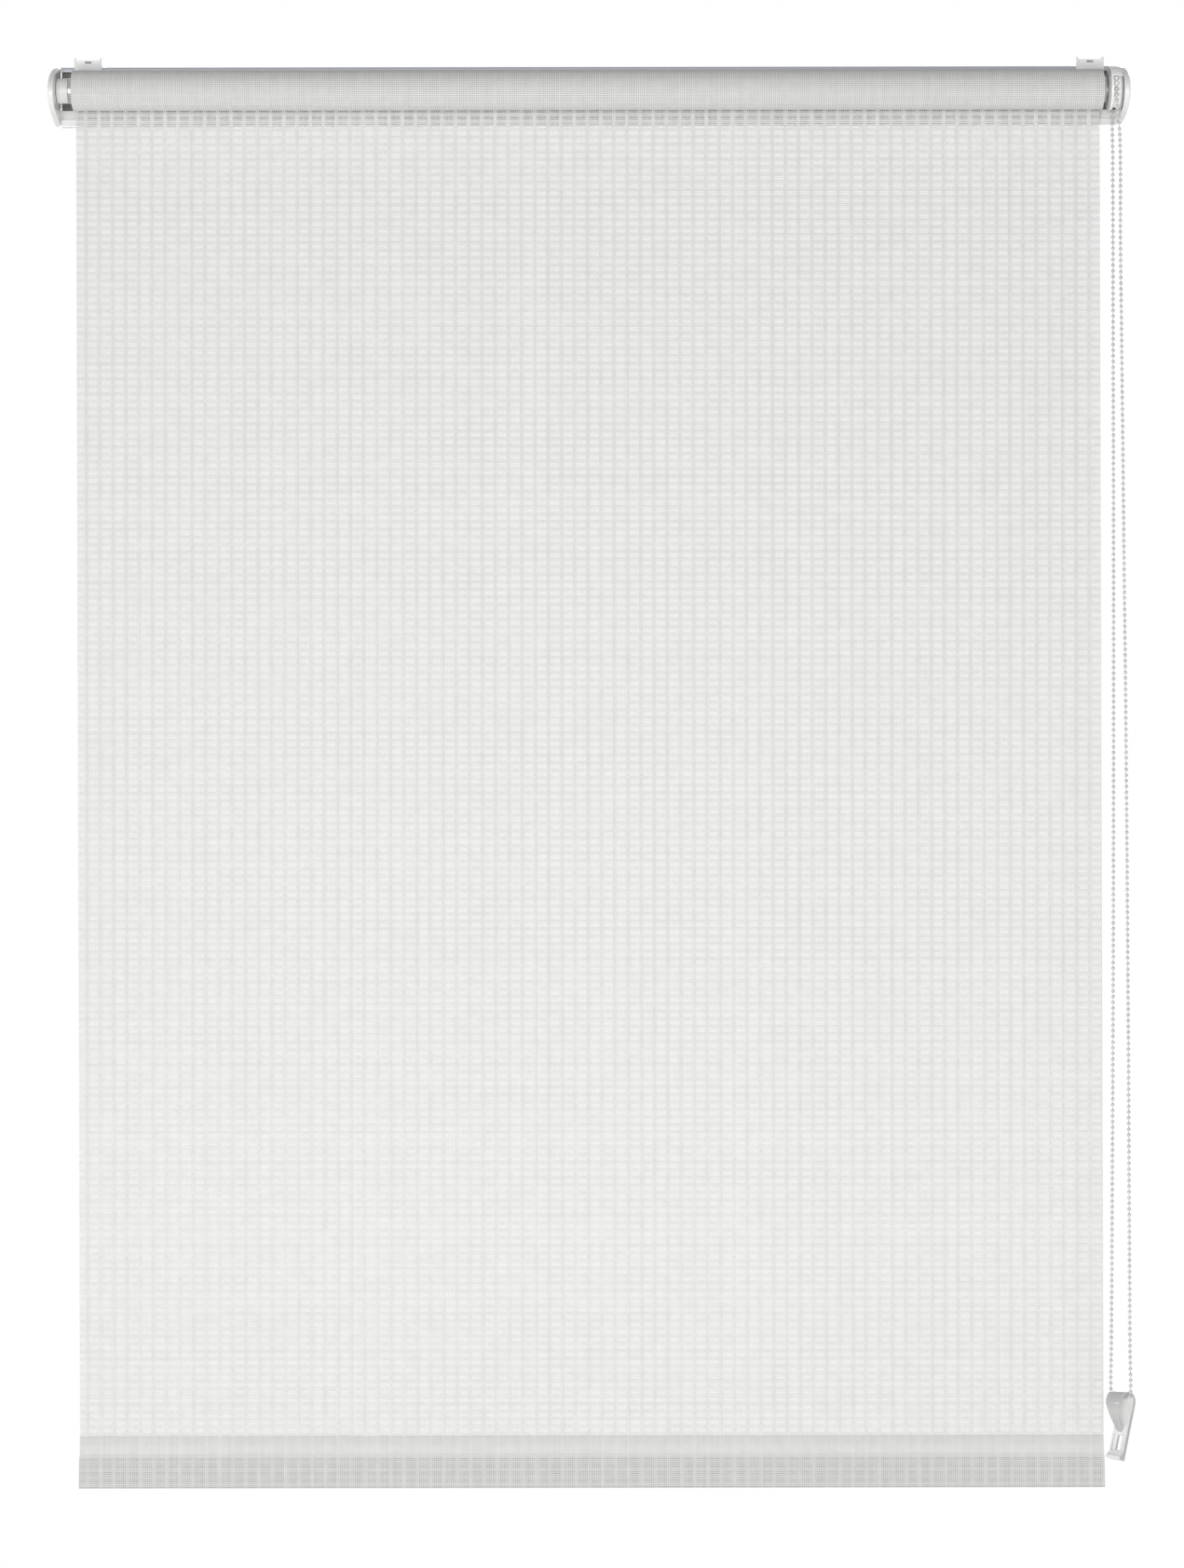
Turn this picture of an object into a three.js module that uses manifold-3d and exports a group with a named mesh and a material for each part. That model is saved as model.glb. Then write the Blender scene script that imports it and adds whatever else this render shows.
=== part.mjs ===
// A clamp-on roller blind: carrier rail, clamps for a window sash, roller with chain drive, cloth and chain.
// Millimetres. +Z is up, the room side faces -Y, the chain side is +X.
// The origin is the centre of the rail's back face, which lies against the window sash.

import * as THREE from "three";
import { mergeVertices } from "three/addons/utils/BufferGeometryUtils.js";
import Module from "manifold-3d";

const wasm = await Module();
wasm.setup();

// Driving dimensions

const GAP = 0.3; // between two pieces that meet
const RUNNING = 0.4; // beside a piece that turns

const FABRIC_WIDTH = 760;
const DROP = 1035; // from the roller's axis to the bottom of the hem
const CLOTH = 0.5;
const IDLE_SPACE = 12; // from the left plate to the fabric
const DRIVE_SPACE = 14; // from the fabric to the right plate
const PLATE_THICKNESS = 4;
const PLATE_BEVEL = 0.8;
const PLATE_TONGUE = 8; // how far a side plate reaches into the rail
const PLATE_STEP_TOP = 0.5; // a side plate stays this much inside the rail's height
const PLATE_STEP_BOTTOM = 0.9;

const RAIL_HEIGHT = 44;
const RAIL_DEPTH = 6;
const RAIL_WALL = 1.4;
const RAIL_TOP_LIP = 3.5;
const RAIL_BOTTOM_LIP = 5.5;
const RAIL_RIB = 0.5; // step of the light band along the bottom edge

const AXIS_HEIGHT = 1.2; // the roller's axis above the rail's middle
const ROLL_DIAMETER = 30;
const PANEL_GAP = 3.5; // from the rail's front to the cloth
const TUBE_DIAMETER = 19;
const TUBE_WALL = 0.9;
const TUBE_BARE_IDLE = 3; // bare tube past the cloth
const TUBE_BARE_DRIVE = 3.4;
const NOSE_REACH = 21.5; // of a side plate in front of the axis
const NOSE_DROP = 3.5; // of the nose's foremost point below the axis

const HEM_HEIGHT = 38.6;
const BAR_HEIGHT = 20.4;
const BAR_THICKNESS = 2.4;
const BAR_CAP = 2;

const PIN_RADIUS = 2.5;
const PIN_INSERT = 2.8; // how far the idle pin sits in its plate
const PIN_TIP = 0.5; // chamfer of its end
const PIN_NECK = 0.3; // how much thinner its tail is
const PIN_SHOULDER = 1.8;
const PIN_TAIL = 2; // past the plug
const PLUG_DEPTH = 23; // of the idle plug in the tube
const PLUG_WALL = 4;
const CHAMBER_RADIUS = 4.4; // room for the pin's spring
const CHAMBER_START = 5; // from the left plate
const PIN_SPRING_TURNS = 7;
const CORE_RADIUS = 4;
const CORE_LENGTH = 46;
const HUB_BASE_RADIUS = 11;
const HUB_BASE = 0.8;
const CAP_BORE = 1.8;
const CAP_BORE_DEPTH = 10;
const CAP_STEM = 8;
const CAP_RADIUS = 6;
const CAP_THICKNESS = 2.4;
const CROWN_WALL = 1.6;
const FINGER_WALL = 1.1;
const SLOT_WIDTH = 3.2; // between the drive fingers, where the plug's rib sits
const WRAP_TURNS = 6;
const WIRE = 0.8;

const BEAD = 3;
const BEAD_PITCH = 4.2;
const POCKETS = 20;
const WHEEL_FLANGE = 1.6;
const WHEEL_COLLAR = 0.5; // beyond each flange
const WHEEL_RIM = 0.13; // of the flanges past the beads
const GUARD_WALL = 1.2;
const GUARD_START = 29; // degrees above the horizontal, at the front
const GUARD_END = 190;
const GUARD_GROOVE = 1.1; // between the shroud and the right plate
const GUARD_GROOVE_DEPTH = 0.6;

const CLAMP_WIDTH = 20.6;
const CLAMP_INSET = 20.8; // from a side plate to the middle of a clamp
const CLAMP_WALL = 1.6;
const CLAMP_TOP = 1.7;
const CLAMP_EAR = 1.6;
const CLAMP_REACH = 16; // of the carrier behind the rail
const HOOK_THICKNESS = 2.3;
const SASH = 17.5; // sash thickness that the hooks are set to
const HOOK_DROP = 10.4; // of the hook's lip below its underside
const HOOK_LIP = 2;

const SLEEVE_LENGTH = 14; // of the tensioner, along the chain
const SLEEVE_RADIUS = 8.4;
const SLEEVE_WALL = 1.4;
const SLEEVE_TURN = 48; // degrees about the vertical
const SLEEVE_LEAN = 16;
const CEILING = 3.7; // from the middle of the chain's lowest bead to the sleeve
const HOLLOW_RADIUS = 5.3; // of the room for the chain in the sleeve
const HOLLOW_FORWARD = 1.1; // of its middle from the sleeve's
const TONGUE_LENGTH = 42;
const TONGUE_THICKNESS = 3;
const TONGUE_TOP = 21.4; // below the sleeve's middle
const TAPER_TOP = 3; // where the sleeve's front leg starts to narrow, below its middle
const TAPER = 16; // degrees on each side
const TONGUE_LIP = 2.8; // along its lower edge
const TONGUE_BORDER = 1.5; // raised round its recess
const TONGUE_RECESS = 0.8;
const RECESS_TOP = 23.4;
const RECESS_BOTTOM = 35.6;
const SCREW_SLOT = 4.6;
const SCREW_SLOT_TOP = 23.9;
const SCREW_SLOT_BOTTOM = 34.5;

// Worked-out places

const innerHalf = (FABRIC_WIDTH + IDLE_SPACE + DRIVE_SPACE) / 2;
const fabricLeft = -innerHalf + IDLE_SPACE;
const fabricRight = fabricLeft + FABRIC_WIDTH;
const rollRadius = ROLL_DIAMETER / 2;
const beadRadius = BEAD / 2;
const wheelPitchRadius = (POCKETS * BEAD_PITCH) / (2 * Math.PI);
const wheelRadius = wheelPitchRadius + beadRadius + WHEEL_RIM;
const guardInner = wheelRadius + RUNNING;
const guardOuter = guardInner + GUARD_WALL;
const axisY = -(RAIL_DEPTH + Math.max(PANEL_GAP + rollRadius, GAP + guardOuter));
const axisZ = AXIS_HEIGHT;
const railTop = RAIL_HEIGHT / 2;
const tubeRadius = TUBE_DIAMETER / 2;
const boreRadius = tubeRadius - TUBE_WALL;
const panelBack = axisY + rollRadius;
const hemBottom = axisZ - DROP;

// Materials

function finish(colour, roughness, metalness = 0) {
  return new THREE.MeshStandardMaterial({ color: colour, roughness, metalness });
}

const whitePlastic = finish(0xe9e9e7, 0.35);
const greyPlastic = finish(0xc4c4c3, 0.45);
const darkPlastic = finish(0xa9abac, 0.5);
const aluminium = finish(0xc9ccd1, 0.35, 0.9);
const steel = finish(0xb8babd, 0.3, 1);
const cloth = finish(0xe4e5e3, 0.9);
const beadPlastic = finish(0xe0e1e0, 0.3);
const tensionerPlastic = finish(0xcfcfcd, 0.25);

// Tools for making solids

const object = new THREE.Group();

function add(name, geometry, material) {
  const mesh = new THREE.Mesh(geometry, material);
  mesh.name = name;
  object.add(mesh);
  return mesh;
}

function solid(geometry) {
  const bare = geometry.index ? geometry.toNonIndexed() : geometry.clone();
  bare.deleteAttribute("normal");
  bare.deleteAttribute("uv");
  const merged = mergeVertices(bare, 1e-4);
  return new wasm.Manifold(
    new wasm.Mesh({
      numProp: 3,
      vertProperties: merged.attributes.position.array,
      triVerts: new Uint32Array(merged.index.array),
    }),
  );
}

function geometryOf(manifold) {
  const mesh = manifold.getMesh();
  const geometry = new THREE.BufferGeometry();
  geometry.setAttribute("position", new THREE.BufferAttribute(mesh.vertProperties, 3));
  geometry.setIndex(new THREE.BufferAttribute(mesh.triVerts, 1));
  return geometry;
}

function box(x0, x1, y0, y1, z0, z1) {
  const geometry = new THREE.BoxGeometry(x1 - x0, y1 - y0, z1 - z0);
  geometry.translate((x0 + x1) / 2, (y0 + y1) / 2, (z0 + z1) / 2);
  return geometry;
}

// A ring or rod about the roller's axis. The profile is a closed list of [x, radius] corners.
function turned(profile, segments = 48) {
  const points = profile.map(([x, r]) => new THREE.Vector2(r, x));
  points.push(points[0].clone());
  const geometry = new THREE.LatheGeometry(points, segments);
  geometry.rotateZ(-Math.PI / 2);
  geometry.translate(0, axisY, axisZ);
  return geometry;
}

function ring(x0, x1, inner, outer, segments = 48) {
  return turned(
    [
      [x0, outer],
      [x1, outer],
      [x1, inner],
      [x0, inner],
    ],
    segments,
  );
}

function rod(x0, x1, radius, segments = 32) {
  return ring(x0, x1, 0, radius, segments);
}

// A section drawn in (Y, Z), run along X.
const alongX = new THREE.Matrix4().makeBasis(
  new THREE.Vector3(0, 1, 0),
  new THREE.Vector3(0, 0, 1),
  new THREE.Vector3(1, 0, 0),
);

function run(shape, x0, x1, bevel = 0) {
  const geometry = new THREE.ExtrudeGeometry(shape, {
    depth: x1 - x0 - 2 * bevel,
    bevelEnabled: bevel > 0,
    bevelThickness: bevel,
    bevelSize: bevel,
    bevelOffset: -bevel,
    bevelSegments: 2,
    curveSegments: 14,
  });
  geometry.translate(0, 0, x0 + bevel);
  geometry.applyMatrix4(alongX);
  return geometry;
}

function polygon(corners) {
  return new THREE.Shape(corners.map(([a, b]) => new THREE.Vector2(a, b)));
}

function circle(radius, sides) {
  const corners = [];
  for (let i = 0; i < sides; i++) {
    const angle = (2 * Math.PI * i) / sides;
    corners.push([radius * Math.cos(angle), radius * Math.sin(angle)]);
  }
  return polygon(corners);
}

function tube(curve, radius, sides, steps) {
  return new THREE.ExtrudeGeometry(circle(radius, sides), {
    extrudePath: curve,
    steps,
    bevelEnabled: false,
  });
}

// A coil about the roller's axis.
class Coil extends THREE.Curve {
  constructor(x0, x1, radius, turns) {
    super();
    this.x0 = x0;
    this.x1 = x1;
    this.radius = radius;
    this.turns = turns;
  }

  getPoint(t, target = new THREE.Vector3()) {
    const angle = 2 * Math.PI * this.turns * t;
    return target.set(
      this.x0 + (this.x1 - this.x0) * t,
      axisY + this.radius * Math.cos(angle),
      axisZ + this.radius * Math.sin(angle),
    );
  }
}

const WIRE_SIDES = 6;
const STEPS_PER_TURN = 14;

function wire(coil) {
  return tube(coil, WIRE / 2, WIRE_SIDES, STEPS_PER_TURN * coil.turns);
}

// Rail: a C section, open to the front, with a longer lip along the bottom

function railSection() {
  const front = -RAIL_DEPTH;
  const inside = front + RAIL_WALL;
  const back = -RAIL_WALL;
  const top = railTop;
  const bottom = -railTop;
  return polygon([
    [0, bottom],
    [0, top],
    [front, top],
    [front, top - RAIL_TOP_LIP],
    [inside, top - RAIL_TOP_LIP],
    [inside, top - RAIL_WALL],
    [back, top - RAIL_WALL],
    [back, bottom + RAIL_WALL],
    [inside, bottom + RAIL_WALL],
    [inside, bottom + RAIL_BOTTOM_LIP],
    [front, bottom + RAIL_BOTTOM_LIP],
    [front, bottom + RAIL_WALL],
    [front - RAIL_RIB, bottom + RAIL_WALL],
    [front - RAIL_RIB, bottom],
  ]);
}

const railHalf = innerHalf - GAP;
add("rail", run(railSection(), -railHalf, railHalf), aluminium);

// Side plates: a nose that covers the roll's end, and a tongue in the rail's end

function plateSection() {
  const nose = axisY - NOSE_REACH;
  const noseZ = axisZ - NOSE_DROP;
  const low = -railTop + PLATE_STEP_BOTTOM;
  const high = railTop - PLATE_STEP_TOP;
  const railFront = -RAIL_DEPTH;
  const reach = railFront - nose;
  const shape = new THREE.Shape();
  shape.moveTo(0, low);
  shape.lineTo(0, high);
  shape.lineTo(railFront, high);
  shape.bezierCurveTo(
    railFront - 0.65 * reach,
    high - 5,
    nose,
    noseZ + 9.5,
    nose,
    noseZ,
  );
  shape.bezierCurveTo(
    nose,
    noseZ - 10.5,
    railFront - 0.5 * reach,
    low + 3,
    railFront,
    low,
  );
  return shape;
}

function sidePlate(side) {
  const inner = side * innerHalf;
  const outer = side * (innerHalf + PLATE_THICKNESS);
  const [x0, x1] = [Math.min(inner, outer), Math.max(inner, outer)];
  const plate = solid(run(plateSection(), x0, x1, PLATE_BEVEL));
  const tip = side * (innerHalf - PLATE_TONGUE);
  const root = side * (innerHalf + PLATE_THICKNESS / 2);
  const tongue = solid(
    box(
      Math.min(tip, root),
      Math.max(tip, root),
      -RAIL_DEPTH + RAIL_WALL + GAP,
      -RAIL_WALL - GAP,
      -railTop + RAIL_WALL + GAP,
      railTop - RAIL_WALL - GAP,
    ),
  );
  return plate.add(tongue);
}

const pinHole = solid(
  rod(-innerHalf - PIN_INSERT - GAP, -innerHalf + 1, PIN_RADIUS + GAP),
);
add("side_plate_left", geometryOf(sidePlate(-1).subtract(pinHole)), whitePlastic);
add("side_plate_right", geometryOf(sidePlate(1)), whitePlastic);

// Roller: tube and the cloth wound on it

const tubeLeft = fabricLeft - TUBE_BARE_IDLE;
const tubeRight = fabricRight + TUBE_BARE_DRIVE;
add("roller_tube", ring(tubeLeft, tubeRight, boreRadius, tubeRadius), aluminium);
add("wound_fabric", ring(fabricLeft, fabricRight, tubeRadius + GAP, rollRadius, 64), cloth);

// Idle end: plug, spring-loaded pin and its spring

const plugFlangeRight = tubeLeft - GAP;
const plugRight = tubeLeft + PLUG_DEPTH;
const plugRadius = tubeRadius - GAP;
const chamberLeft = -innerHalf + CHAMBER_START;
const chamberRight = plugRight - PLUG_WALL;
const tailRadius = PIN_RADIUS - PIN_NECK;
const pinLeft = -innerHalf - PIN_INSERT;
const tailEnd = plugRight + PIN_TAIL;
add(
  "idle_plug",
  turned([
    [-innerHalf + RUNNING, plugRadius],
    [plugFlangeRight, plugRadius],
    [plugFlangeRight, boreRadius - GAP],
    [plugRight, boreRadius - GAP],
    [plugRight, tailRadius + GAP],
    [chamberRight, tailRadius + GAP],
    [chamberRight, CHAMBER_RADIUS],
    [chamberLeft, CHAMBER_RADIUS],
    [chamberLeft, PIN_RADIUS + GAP],
    [-innerHalf + RUNNING, PIN_RADIUS + GAP],
  ]),
  whitePlastic,
);

const shoulderLeft = chamberLeft + GAP;
const shoulderRight = shoulderLeft + PIN_SHOULDER;
add(
  "idle_pin",
  turned(
    [
      [pinLeft, 0],
      [pinLeft, PIN_RADIUS - PIN_TIP],
      [pinLeft + PIN_TIP, PIN_RADIUS],
      [shoulderLeft, PIN_RADIUS],
      [shoulderLeft, CHAMBER_RADIUS - GAP],
      [shoulderRight, CHAMBER_RADIUS - GAP],
      [shoulderRight, tailRadius],
      [tailEnd, tailRadius],
      [tailEnd, 0],
    ],
    24,
  ),
  steel,
);

const coilRadius = (tailRadius + CHAMBER_RADIUS) / 2;
const coilStart = shoulderRight + GAP + WIRE / 2;
const coilEnd = chamberRight - GAP - WIRE / 2;
add("idle_spring", wire(new Coil(coilStart, coilEnd, coilRadius, PIN_SPRING_TURNS)), steel);

// Drive end: fixed hub, wrap springs, chain wheel, plug and retaining cap

const hubBase = innerHalf - GAP;
const coreEnd = hubBase - CORE_LENGTH;
add(
  "drive_hub",
  turned([
    [hubBase, 0],
    [hubBase, HUB_BASE_RADIUS],
    [hubBase - HUB_BASE, HUB_BASE_RADIUS],
    [hubBase - HUB_BASE, CORE_RADIUS],
    [coreEnd, CORE_RADIUS],
    [coreEnd, CAP_BORE],
    [coreEnd + CAP_BORE_DEPTH, CAP_BORE],
    [coreEnd + CAP_BORE_DEPTH, 0],
  ].reverse()),
  darkPlastic,
);

const wheelRight = hubBase - HUB_BASE - WHEEL_COLLAR;
const beadPlane = wheelRight - WHEEL_FLANGE - beadRadius - RUNNING;
const grooveHalf = beadRadius + RUNNING;
const wheelLeft = beadPlane - grooveHalf - WHEEL_FLANGE - WHEEL_COLLAR;
const grooveRadius = wheelPitchRadius - beadRadius - GAP;
const plugFlangeOuter = wheelLeft - RUNNING;
const plugFlangeInner = tubeRight + GAP;
const springBore = CORE_RADIUS + GAP + WIRE + RUNNING;
const fingerRadius = springBore + FINGER_WALL;
const fingerEnd = coreEnd + CROWN_WALL + RUNNING;
const crownBore = fingerRadius + GAP;
const crownRadius = boreRadius - RUNNING;
const flangeRadius = wheelRadius - WHEEL_COLLAR;

const wheelRing = solid(
  turned([
    [wheelLeft, wheelRadius],
    [beadPlane - grooveHalf, wheelRadius],
    [beadPlane - grooveHalf, grooveRadius],
    [beadPlane + grooveHalf, grooveRadius],
    [beadPlane + grooveHalf, wheelRadius],
    [wheelRight, wheelRadius],
    [wheelRight, CORE_RADIUS + GAP],
    [wheelLeft, CORE_RADIUS + GAP],
    [wheelLeft, springBore],
    [fingerEnd, springBore],
    [fingerEnd, fingerRadius],
    [wheelLeft, fingerRadius],
  ]),
);
const fingerSlot = solid(
  box(
    fingerEnd - 1,
    wheelLeft - 2,
    axisY - SLOT_WIDTH / 2,
    axisY + SLOT_WIDTH / 2,
    axisZ,
    axisZ + fingerRadius + 1,
  ),
);
add("chain_wheel", geometryOf(wheelRing.subtract(fingerSlot)), whitePlastic);

const crown = solid(
  turned([
    [coreEnd, crownRadius],
    [plugFlangeInner, crownRadius],
    [plugFlangeInner, flangeRadius],
    [plugFlangeOuter, flangeRadius],
    [plugFlangeOuter, crownBore],
    [coreEnd + CROWN_WALL, crownBore],
    [coreEnd + CROWN_WALL, CORE_RADIUS + RUNNING],
    [coreEnd, CORE_RADIUS + RUNNING],
  ]),
);
const crownRib = solid(
  box(
    coreEnd + 1,
    wheelLeft - 4,
    axisY - SLOT_WIDTH / 2 + RUNNING,
    axisY + SLOT_WIDTH / 2 - RUNNING,
    axisZ + springBore + 0.1,
    axisZ + crownBore + 0.5,
  ),
);
add("drive_plug", geometryOf(crown.add(crownRib)), greyPlastic);

const springMid = (fingerEnd + wheelLeft) / 2;
const springEnds = [
  ["wrap_spring_inner", fingerEnd + 2, springMid - 1],
  ["wrap_spring_outer", springMid + 1, wheelLeft - 2],
];
for (const [name, x0, x1] of springEnds) {
  add(name, wire(new Coil(x0, x1, CORE_RADIUS + GAP + WIRE / 2, WRAP_TURNS)), steel);
}

const capLeft = coreEnd - GAP - CAP_THICKNESS;
const stemEnd = coreEnd + CAP_STEM;
add(
  "hub_cap",
  turned(
    [
      [capLeft, 0],
      [capLeft, CAP_RADIUS],
      [coreEnd - GAP, CAP_RADIUS],
      [coreEnd - GAP, CAP_BORE - GAP],
      [stemEnd, CAP_BORE - GAP],
      [stemEnd, 0],
    ],
    24,
  ),
  greyPlastic,
);

// Chain guard: a shroud over the wheel, with a web against the right plate

function guardSection(inner, outer) {
  const start = (GUARD_START * Math.PI) / 180;
  const end = (GUARD_END * Math.PI) / 180;
  const shape = new THREE.Shape();
  shape.absarc(0, 0, outer, Math.PI - start, Math.PI - end, true);
  shape.absarc(0, 0, inner, Math.PI - end, Math.PI - start, false);
  shape.closePath();
  return shape;
}

const guardLeft = wheelLeft;
const guardRight = innerHalf - GAP;
const webLeft = wheelRight + WHEEL_COLLAR;

function guard() {
  const webOuter = guardOuter - GUARD_GROOVE_DEPTH;
  const shroud = run(guardSection(guardInner, guardOuter), guardLeft, guardRight - GUARD_GROOVE);
  const collar = run(guardSection(guardInner, webOuter), guardLeft, guardRight);
  const web = run(guardSection(HUB_BASE_RADIUS + RUNNING, webOuter), webLeft, guardRight);
  const joined = solid(shroud).add(solid(collar)).add(solid(web));
  return geometryOf(joined.translate([0, axisY, axisZ]));
}

add("chain_guard", guard(), whitePlastic);

// Cloth: the hanging panel and its doubled hem

const hemTop = hemBottom + HEM_HEIGHT;
const panelFront = panelBack - CLOTH;
const tangentDrop = Math.sqrt(rollRadius ** 2 - (panelFront - GAP - axisY) ** 2);
add(
  "fabric_panel",
  box(fabricLeft, fabricRight, panelFront, panelBack, hemTop + GAP, axisZ - tangentDrop),
  cloth,
);

const barBottom = hemBottom + CLOTH + GAP;
const barTop = barBottom + BAR_HEIGHT;
const hemMiddle = (panelFront + panelBack) / 2;
const pocketHalf = BAR_THICKNESS / 2 + GAP;

function hemSection() {
  const doubled = CLOTH + 0.1;
  const bulge = pocketHalf + CLOTH;
  const edge = 0.8 * CLOTH;
  return polygon([
    [hemMiddle - doubled, hemTop],
    [hemMiddle - doubled, barTop + 4],
    [hemMiddle - bulge, barTop],
    [hemMiddle - bulge, hemBottom + edge],
    [hemMiddle - bulge + edge, hemBottom],
    [hemMiddle + bulge - edge, hemBottom],
    [hemMiddle + bulge, hemBottom + edge],
    [hemMiddle + bulge, barTop],
    [hemMiddle + doubled, barTop + 4],
    [hemMiddle + doubled, hemTop],
  ]);
}

const pocket = box(
  fabricLeft - 1,
  fabricRight + 1,
  hemMiddle - pocketHalf,
  hemMiddle + pocketHalf,
  barBottom - GAP,
  barTop + GAP,
);
const hem = solid(run(hemSection(), fabricLeft, fabricRight)).subtract(solid(pocket));
add("hem_sleeve", geometryOf(hem), cloth);

function barPiece(x0, x1) {
  return box(
    x0,
    x1,
    hemMiddle - BAR_THICKNESS / 2,
    hemMiddle + BAR_THICKNESS / 2,
    barBottom,
    barTop,
  );
}

const barLeft = fabricLeft + BAR_CAP;
const barRight = fabricRight - BAR_CAP;
add("bottom_bar", barPiece(barLeft + GAP, barRight - GAP), aluminium);
add("bar_cap_left", barPiece(fabricLeft, barLeft), whitePlastic);
add("bar_cap_right", barPiece(barRight, fabricRight), whitePlastic);

// Clamps: a carrier that slides on the rail's top lip, and a hook that slides in the carrier

const carrierFront = -RAIL_DEPTH - GAP - CLAMP_WALL;
const carrierUnder = railTop + GAP;
const hookUnder = railTop + 2 * GAP;
const hookTop = hookUnder + HOOK_THICKNESS;
const slabUnder = hookTop + GAP;
const slabTop = slabUnder + CLAMP_TOP;

function carrier(middle) {
  const x0 = middle - CLAMP_WIDTH / 2;
  const x1 = middle + CLAMP_WIDTH / 2;
  const wallBack = CLAMP_REACH;
  const lipBottom = railTop - RAIL_TOP_LIP - GAP;
  const gripBottom = lipBottom - CLAMP_WALL;
  const cheek = polygon([
    [carrierFront, gripBottom],
    [-RAIL_DEPTH - GAP, gripBottom],
    [-RAIL_DEPTH - GAP, carrierUnder],
    [0, carrierUnder],
    [0, carrierUnder + 2 * GAP],
    [wallBack, carrierUnder + 2 * GAP],
    [wallBack, slabTop],
    [wallBack - 3, slabTop + CLAMP_EAR],
    [carrierFront + 0.6, slabTop + CLAMP_EAR],
    [carrierFront, slabTop + CLAMP_EAR - 0.6],
  ]);
  const pieces = [
    run(cheek, x0, x0 + CLAMP_WALL),
    run(cheek, x1 - CLAMP_WALL, x1),
    box(x0, x1, carrierFront, -RAIL_DEPTH - GAP, gripBottom, slabTop),
    box(x0, x1, carrierFront, wallBack - 4, slabUnder, slabTop),
    box(x0, x1, carrierFront, -RAIL_DEPTH + RAIL_WALL + 1.6, gripBottom, lipBottom),
  ];
  const joined = pieces.map(solid).reduce((a, b) => a.add(b));
  const recess = solid(
    box(middle - 2.4, middle + 2.4, carrierFront - 1, carrierFront + 1.1, slabTop - 2.2, slabTop - 0.9),
  );
  const groove = solid(
    box(
      x0 + CLAMP_WALL,
      x1 - CLAMP_WALL,
      carrierFront - 1,
      carrierFront + 0.3,
      slabTop - 2.5,
      slabTop - 1.1,
    ),
  );
  return joined.subtract(recess).subtract(groove);
}

function hook(middle) {
  const half = CLAMP_WIDTH / 2 - CLAMP_WALL - GAP;
  const section = polygon([
    [SASH - 14, hookUnder],
    [SASH, hookUnder],
    [SASH, hookUnder - HOOK_DROP + 2],
    [SASH - 0.7, hookUnder - HOOK_DROP + 1],
    [SASH - 0.7, hookUnder - HOOK_DROP],
    [SASH + HOOK_LIP - 0.6, hookUnder - HOOK_DROP],
    [SASH + HOOK_LIP, hookUnder - HOOK_DROP + 0.6],
    [SASH + HOOK_LIP, hookTop - 0.8],
    [SASH + HOOK_LIP - 0.8, hookTop],
    [SASH - 14, hookTop],
  ]);
  return run(section, middle - half, middle + half);
}

for (const [name, side] of [
  ["left", -1],
  ["right", 1],
]) {
  const middle = side * (innerHalf - CLAMP_INSET);
  add("clamp_body_" + name, geometryOf(carrier(middle)), whitePlastic);
  add("clamp_hook_" + name, hook(middle), whitePlastic);
}

// Bead chain: one endless loop, over the wheel and through the tensioner. X and Y count from the
// wheel's bead plane and the roller's axis, Z from the roller's axis, down the front and up the back.

const CHAIN_ROUTE = [
  [0, -13.37, 0],
  [0, -13.37, -12],
  [2.1, -13.2, -34],
  [2.6, -12.6, -115],
  [3.5, -12.1, -197],
  [4.4, -11.5, -279],
  [5.2, -11.0, -361],
  [6.1, -10.4, -443],
  [6.8, -9.9, -526],
  [7.4, -9.3, -608],
  [8.0, -8.7, -690],
  [8.4, -8.2, -773],
  [8.8, -7.6, -855],
  [9.2, -7.1, -930],
  [9.6, -7.1, -958.5],
  [9.3, -6.8, -962.4],
  [8.0, -5.3, -965.3],
  [6.4, -3.5, -966],
  [3.3, 0, -966],
  [0.2, 3.5, -966],
  [-1.4, 5.3, -965.3],
  [-2.7, 6.8, -962.4],
  [-3.0, 7.1, -958.5],
  [-2.6, 7.1, -930],
  [-1.3, 8.2, -775],
  [-0.3, 9.3, -609],
  [0.3, 10.4, -443],
  [0.5, 11.0, -360],
  [0.6, 12.1, -194],
  [0.5, 13.2, -34],
  [0, 13.37, -12],
  [0, 13.37, 0],
];

const route = new THREE.CatmullRomCurve3(
  CHAIN_ROUTE.map(([x, y, z]) => new THREE.Vector3(beadPlane + x, axisY + y, axisZ + z)),
  false,
  "centripetal",
);
route.arcLengthDivisions = 4000;
const routeLength = route.getLength();
const turnLow = axisZ - 940;

// How far along the route the chain passes a height, going down the front or up the back.
function lengthAt(height, goingDown) {
  let [low, high] = goingDown ? [0, 0.5] : [0.5, 1];
  for (let i = 0; i < 40; i++) {
    const middle = (low + high) / 2;
    const above = route.getPointAt(middle).z > height;
    if (above === goingDown) low = middle;
    else high = middle;
  }
  return low * routeLength;
}

function strand(from, to, steps) {
  const points = [];
  for (let i = 0; i <= steps; i++) {
    const at = from + ((to - from) * i) / steps;
    points.push(route.getPointAt(Math.min(1, at / routeLength)));
  }
  return tube(new THREE.CatmullRomCurve3(points), beadRadius, 8, steps);
}

const turnStart = lengthAt(turnLow, true);
const turnEnd = lengthAt(turnLow, false);
add("bead_chain_front", strand(0, turnStart - GAP, 22), beadPlastic);
add("bead_chain_turn", strand(turnStart, turnEnd, 18), beadPlastic);
add("bead_chain_rear", strand(turnEnd + GAP, routeLength, 22), beadPlastic);

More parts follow.
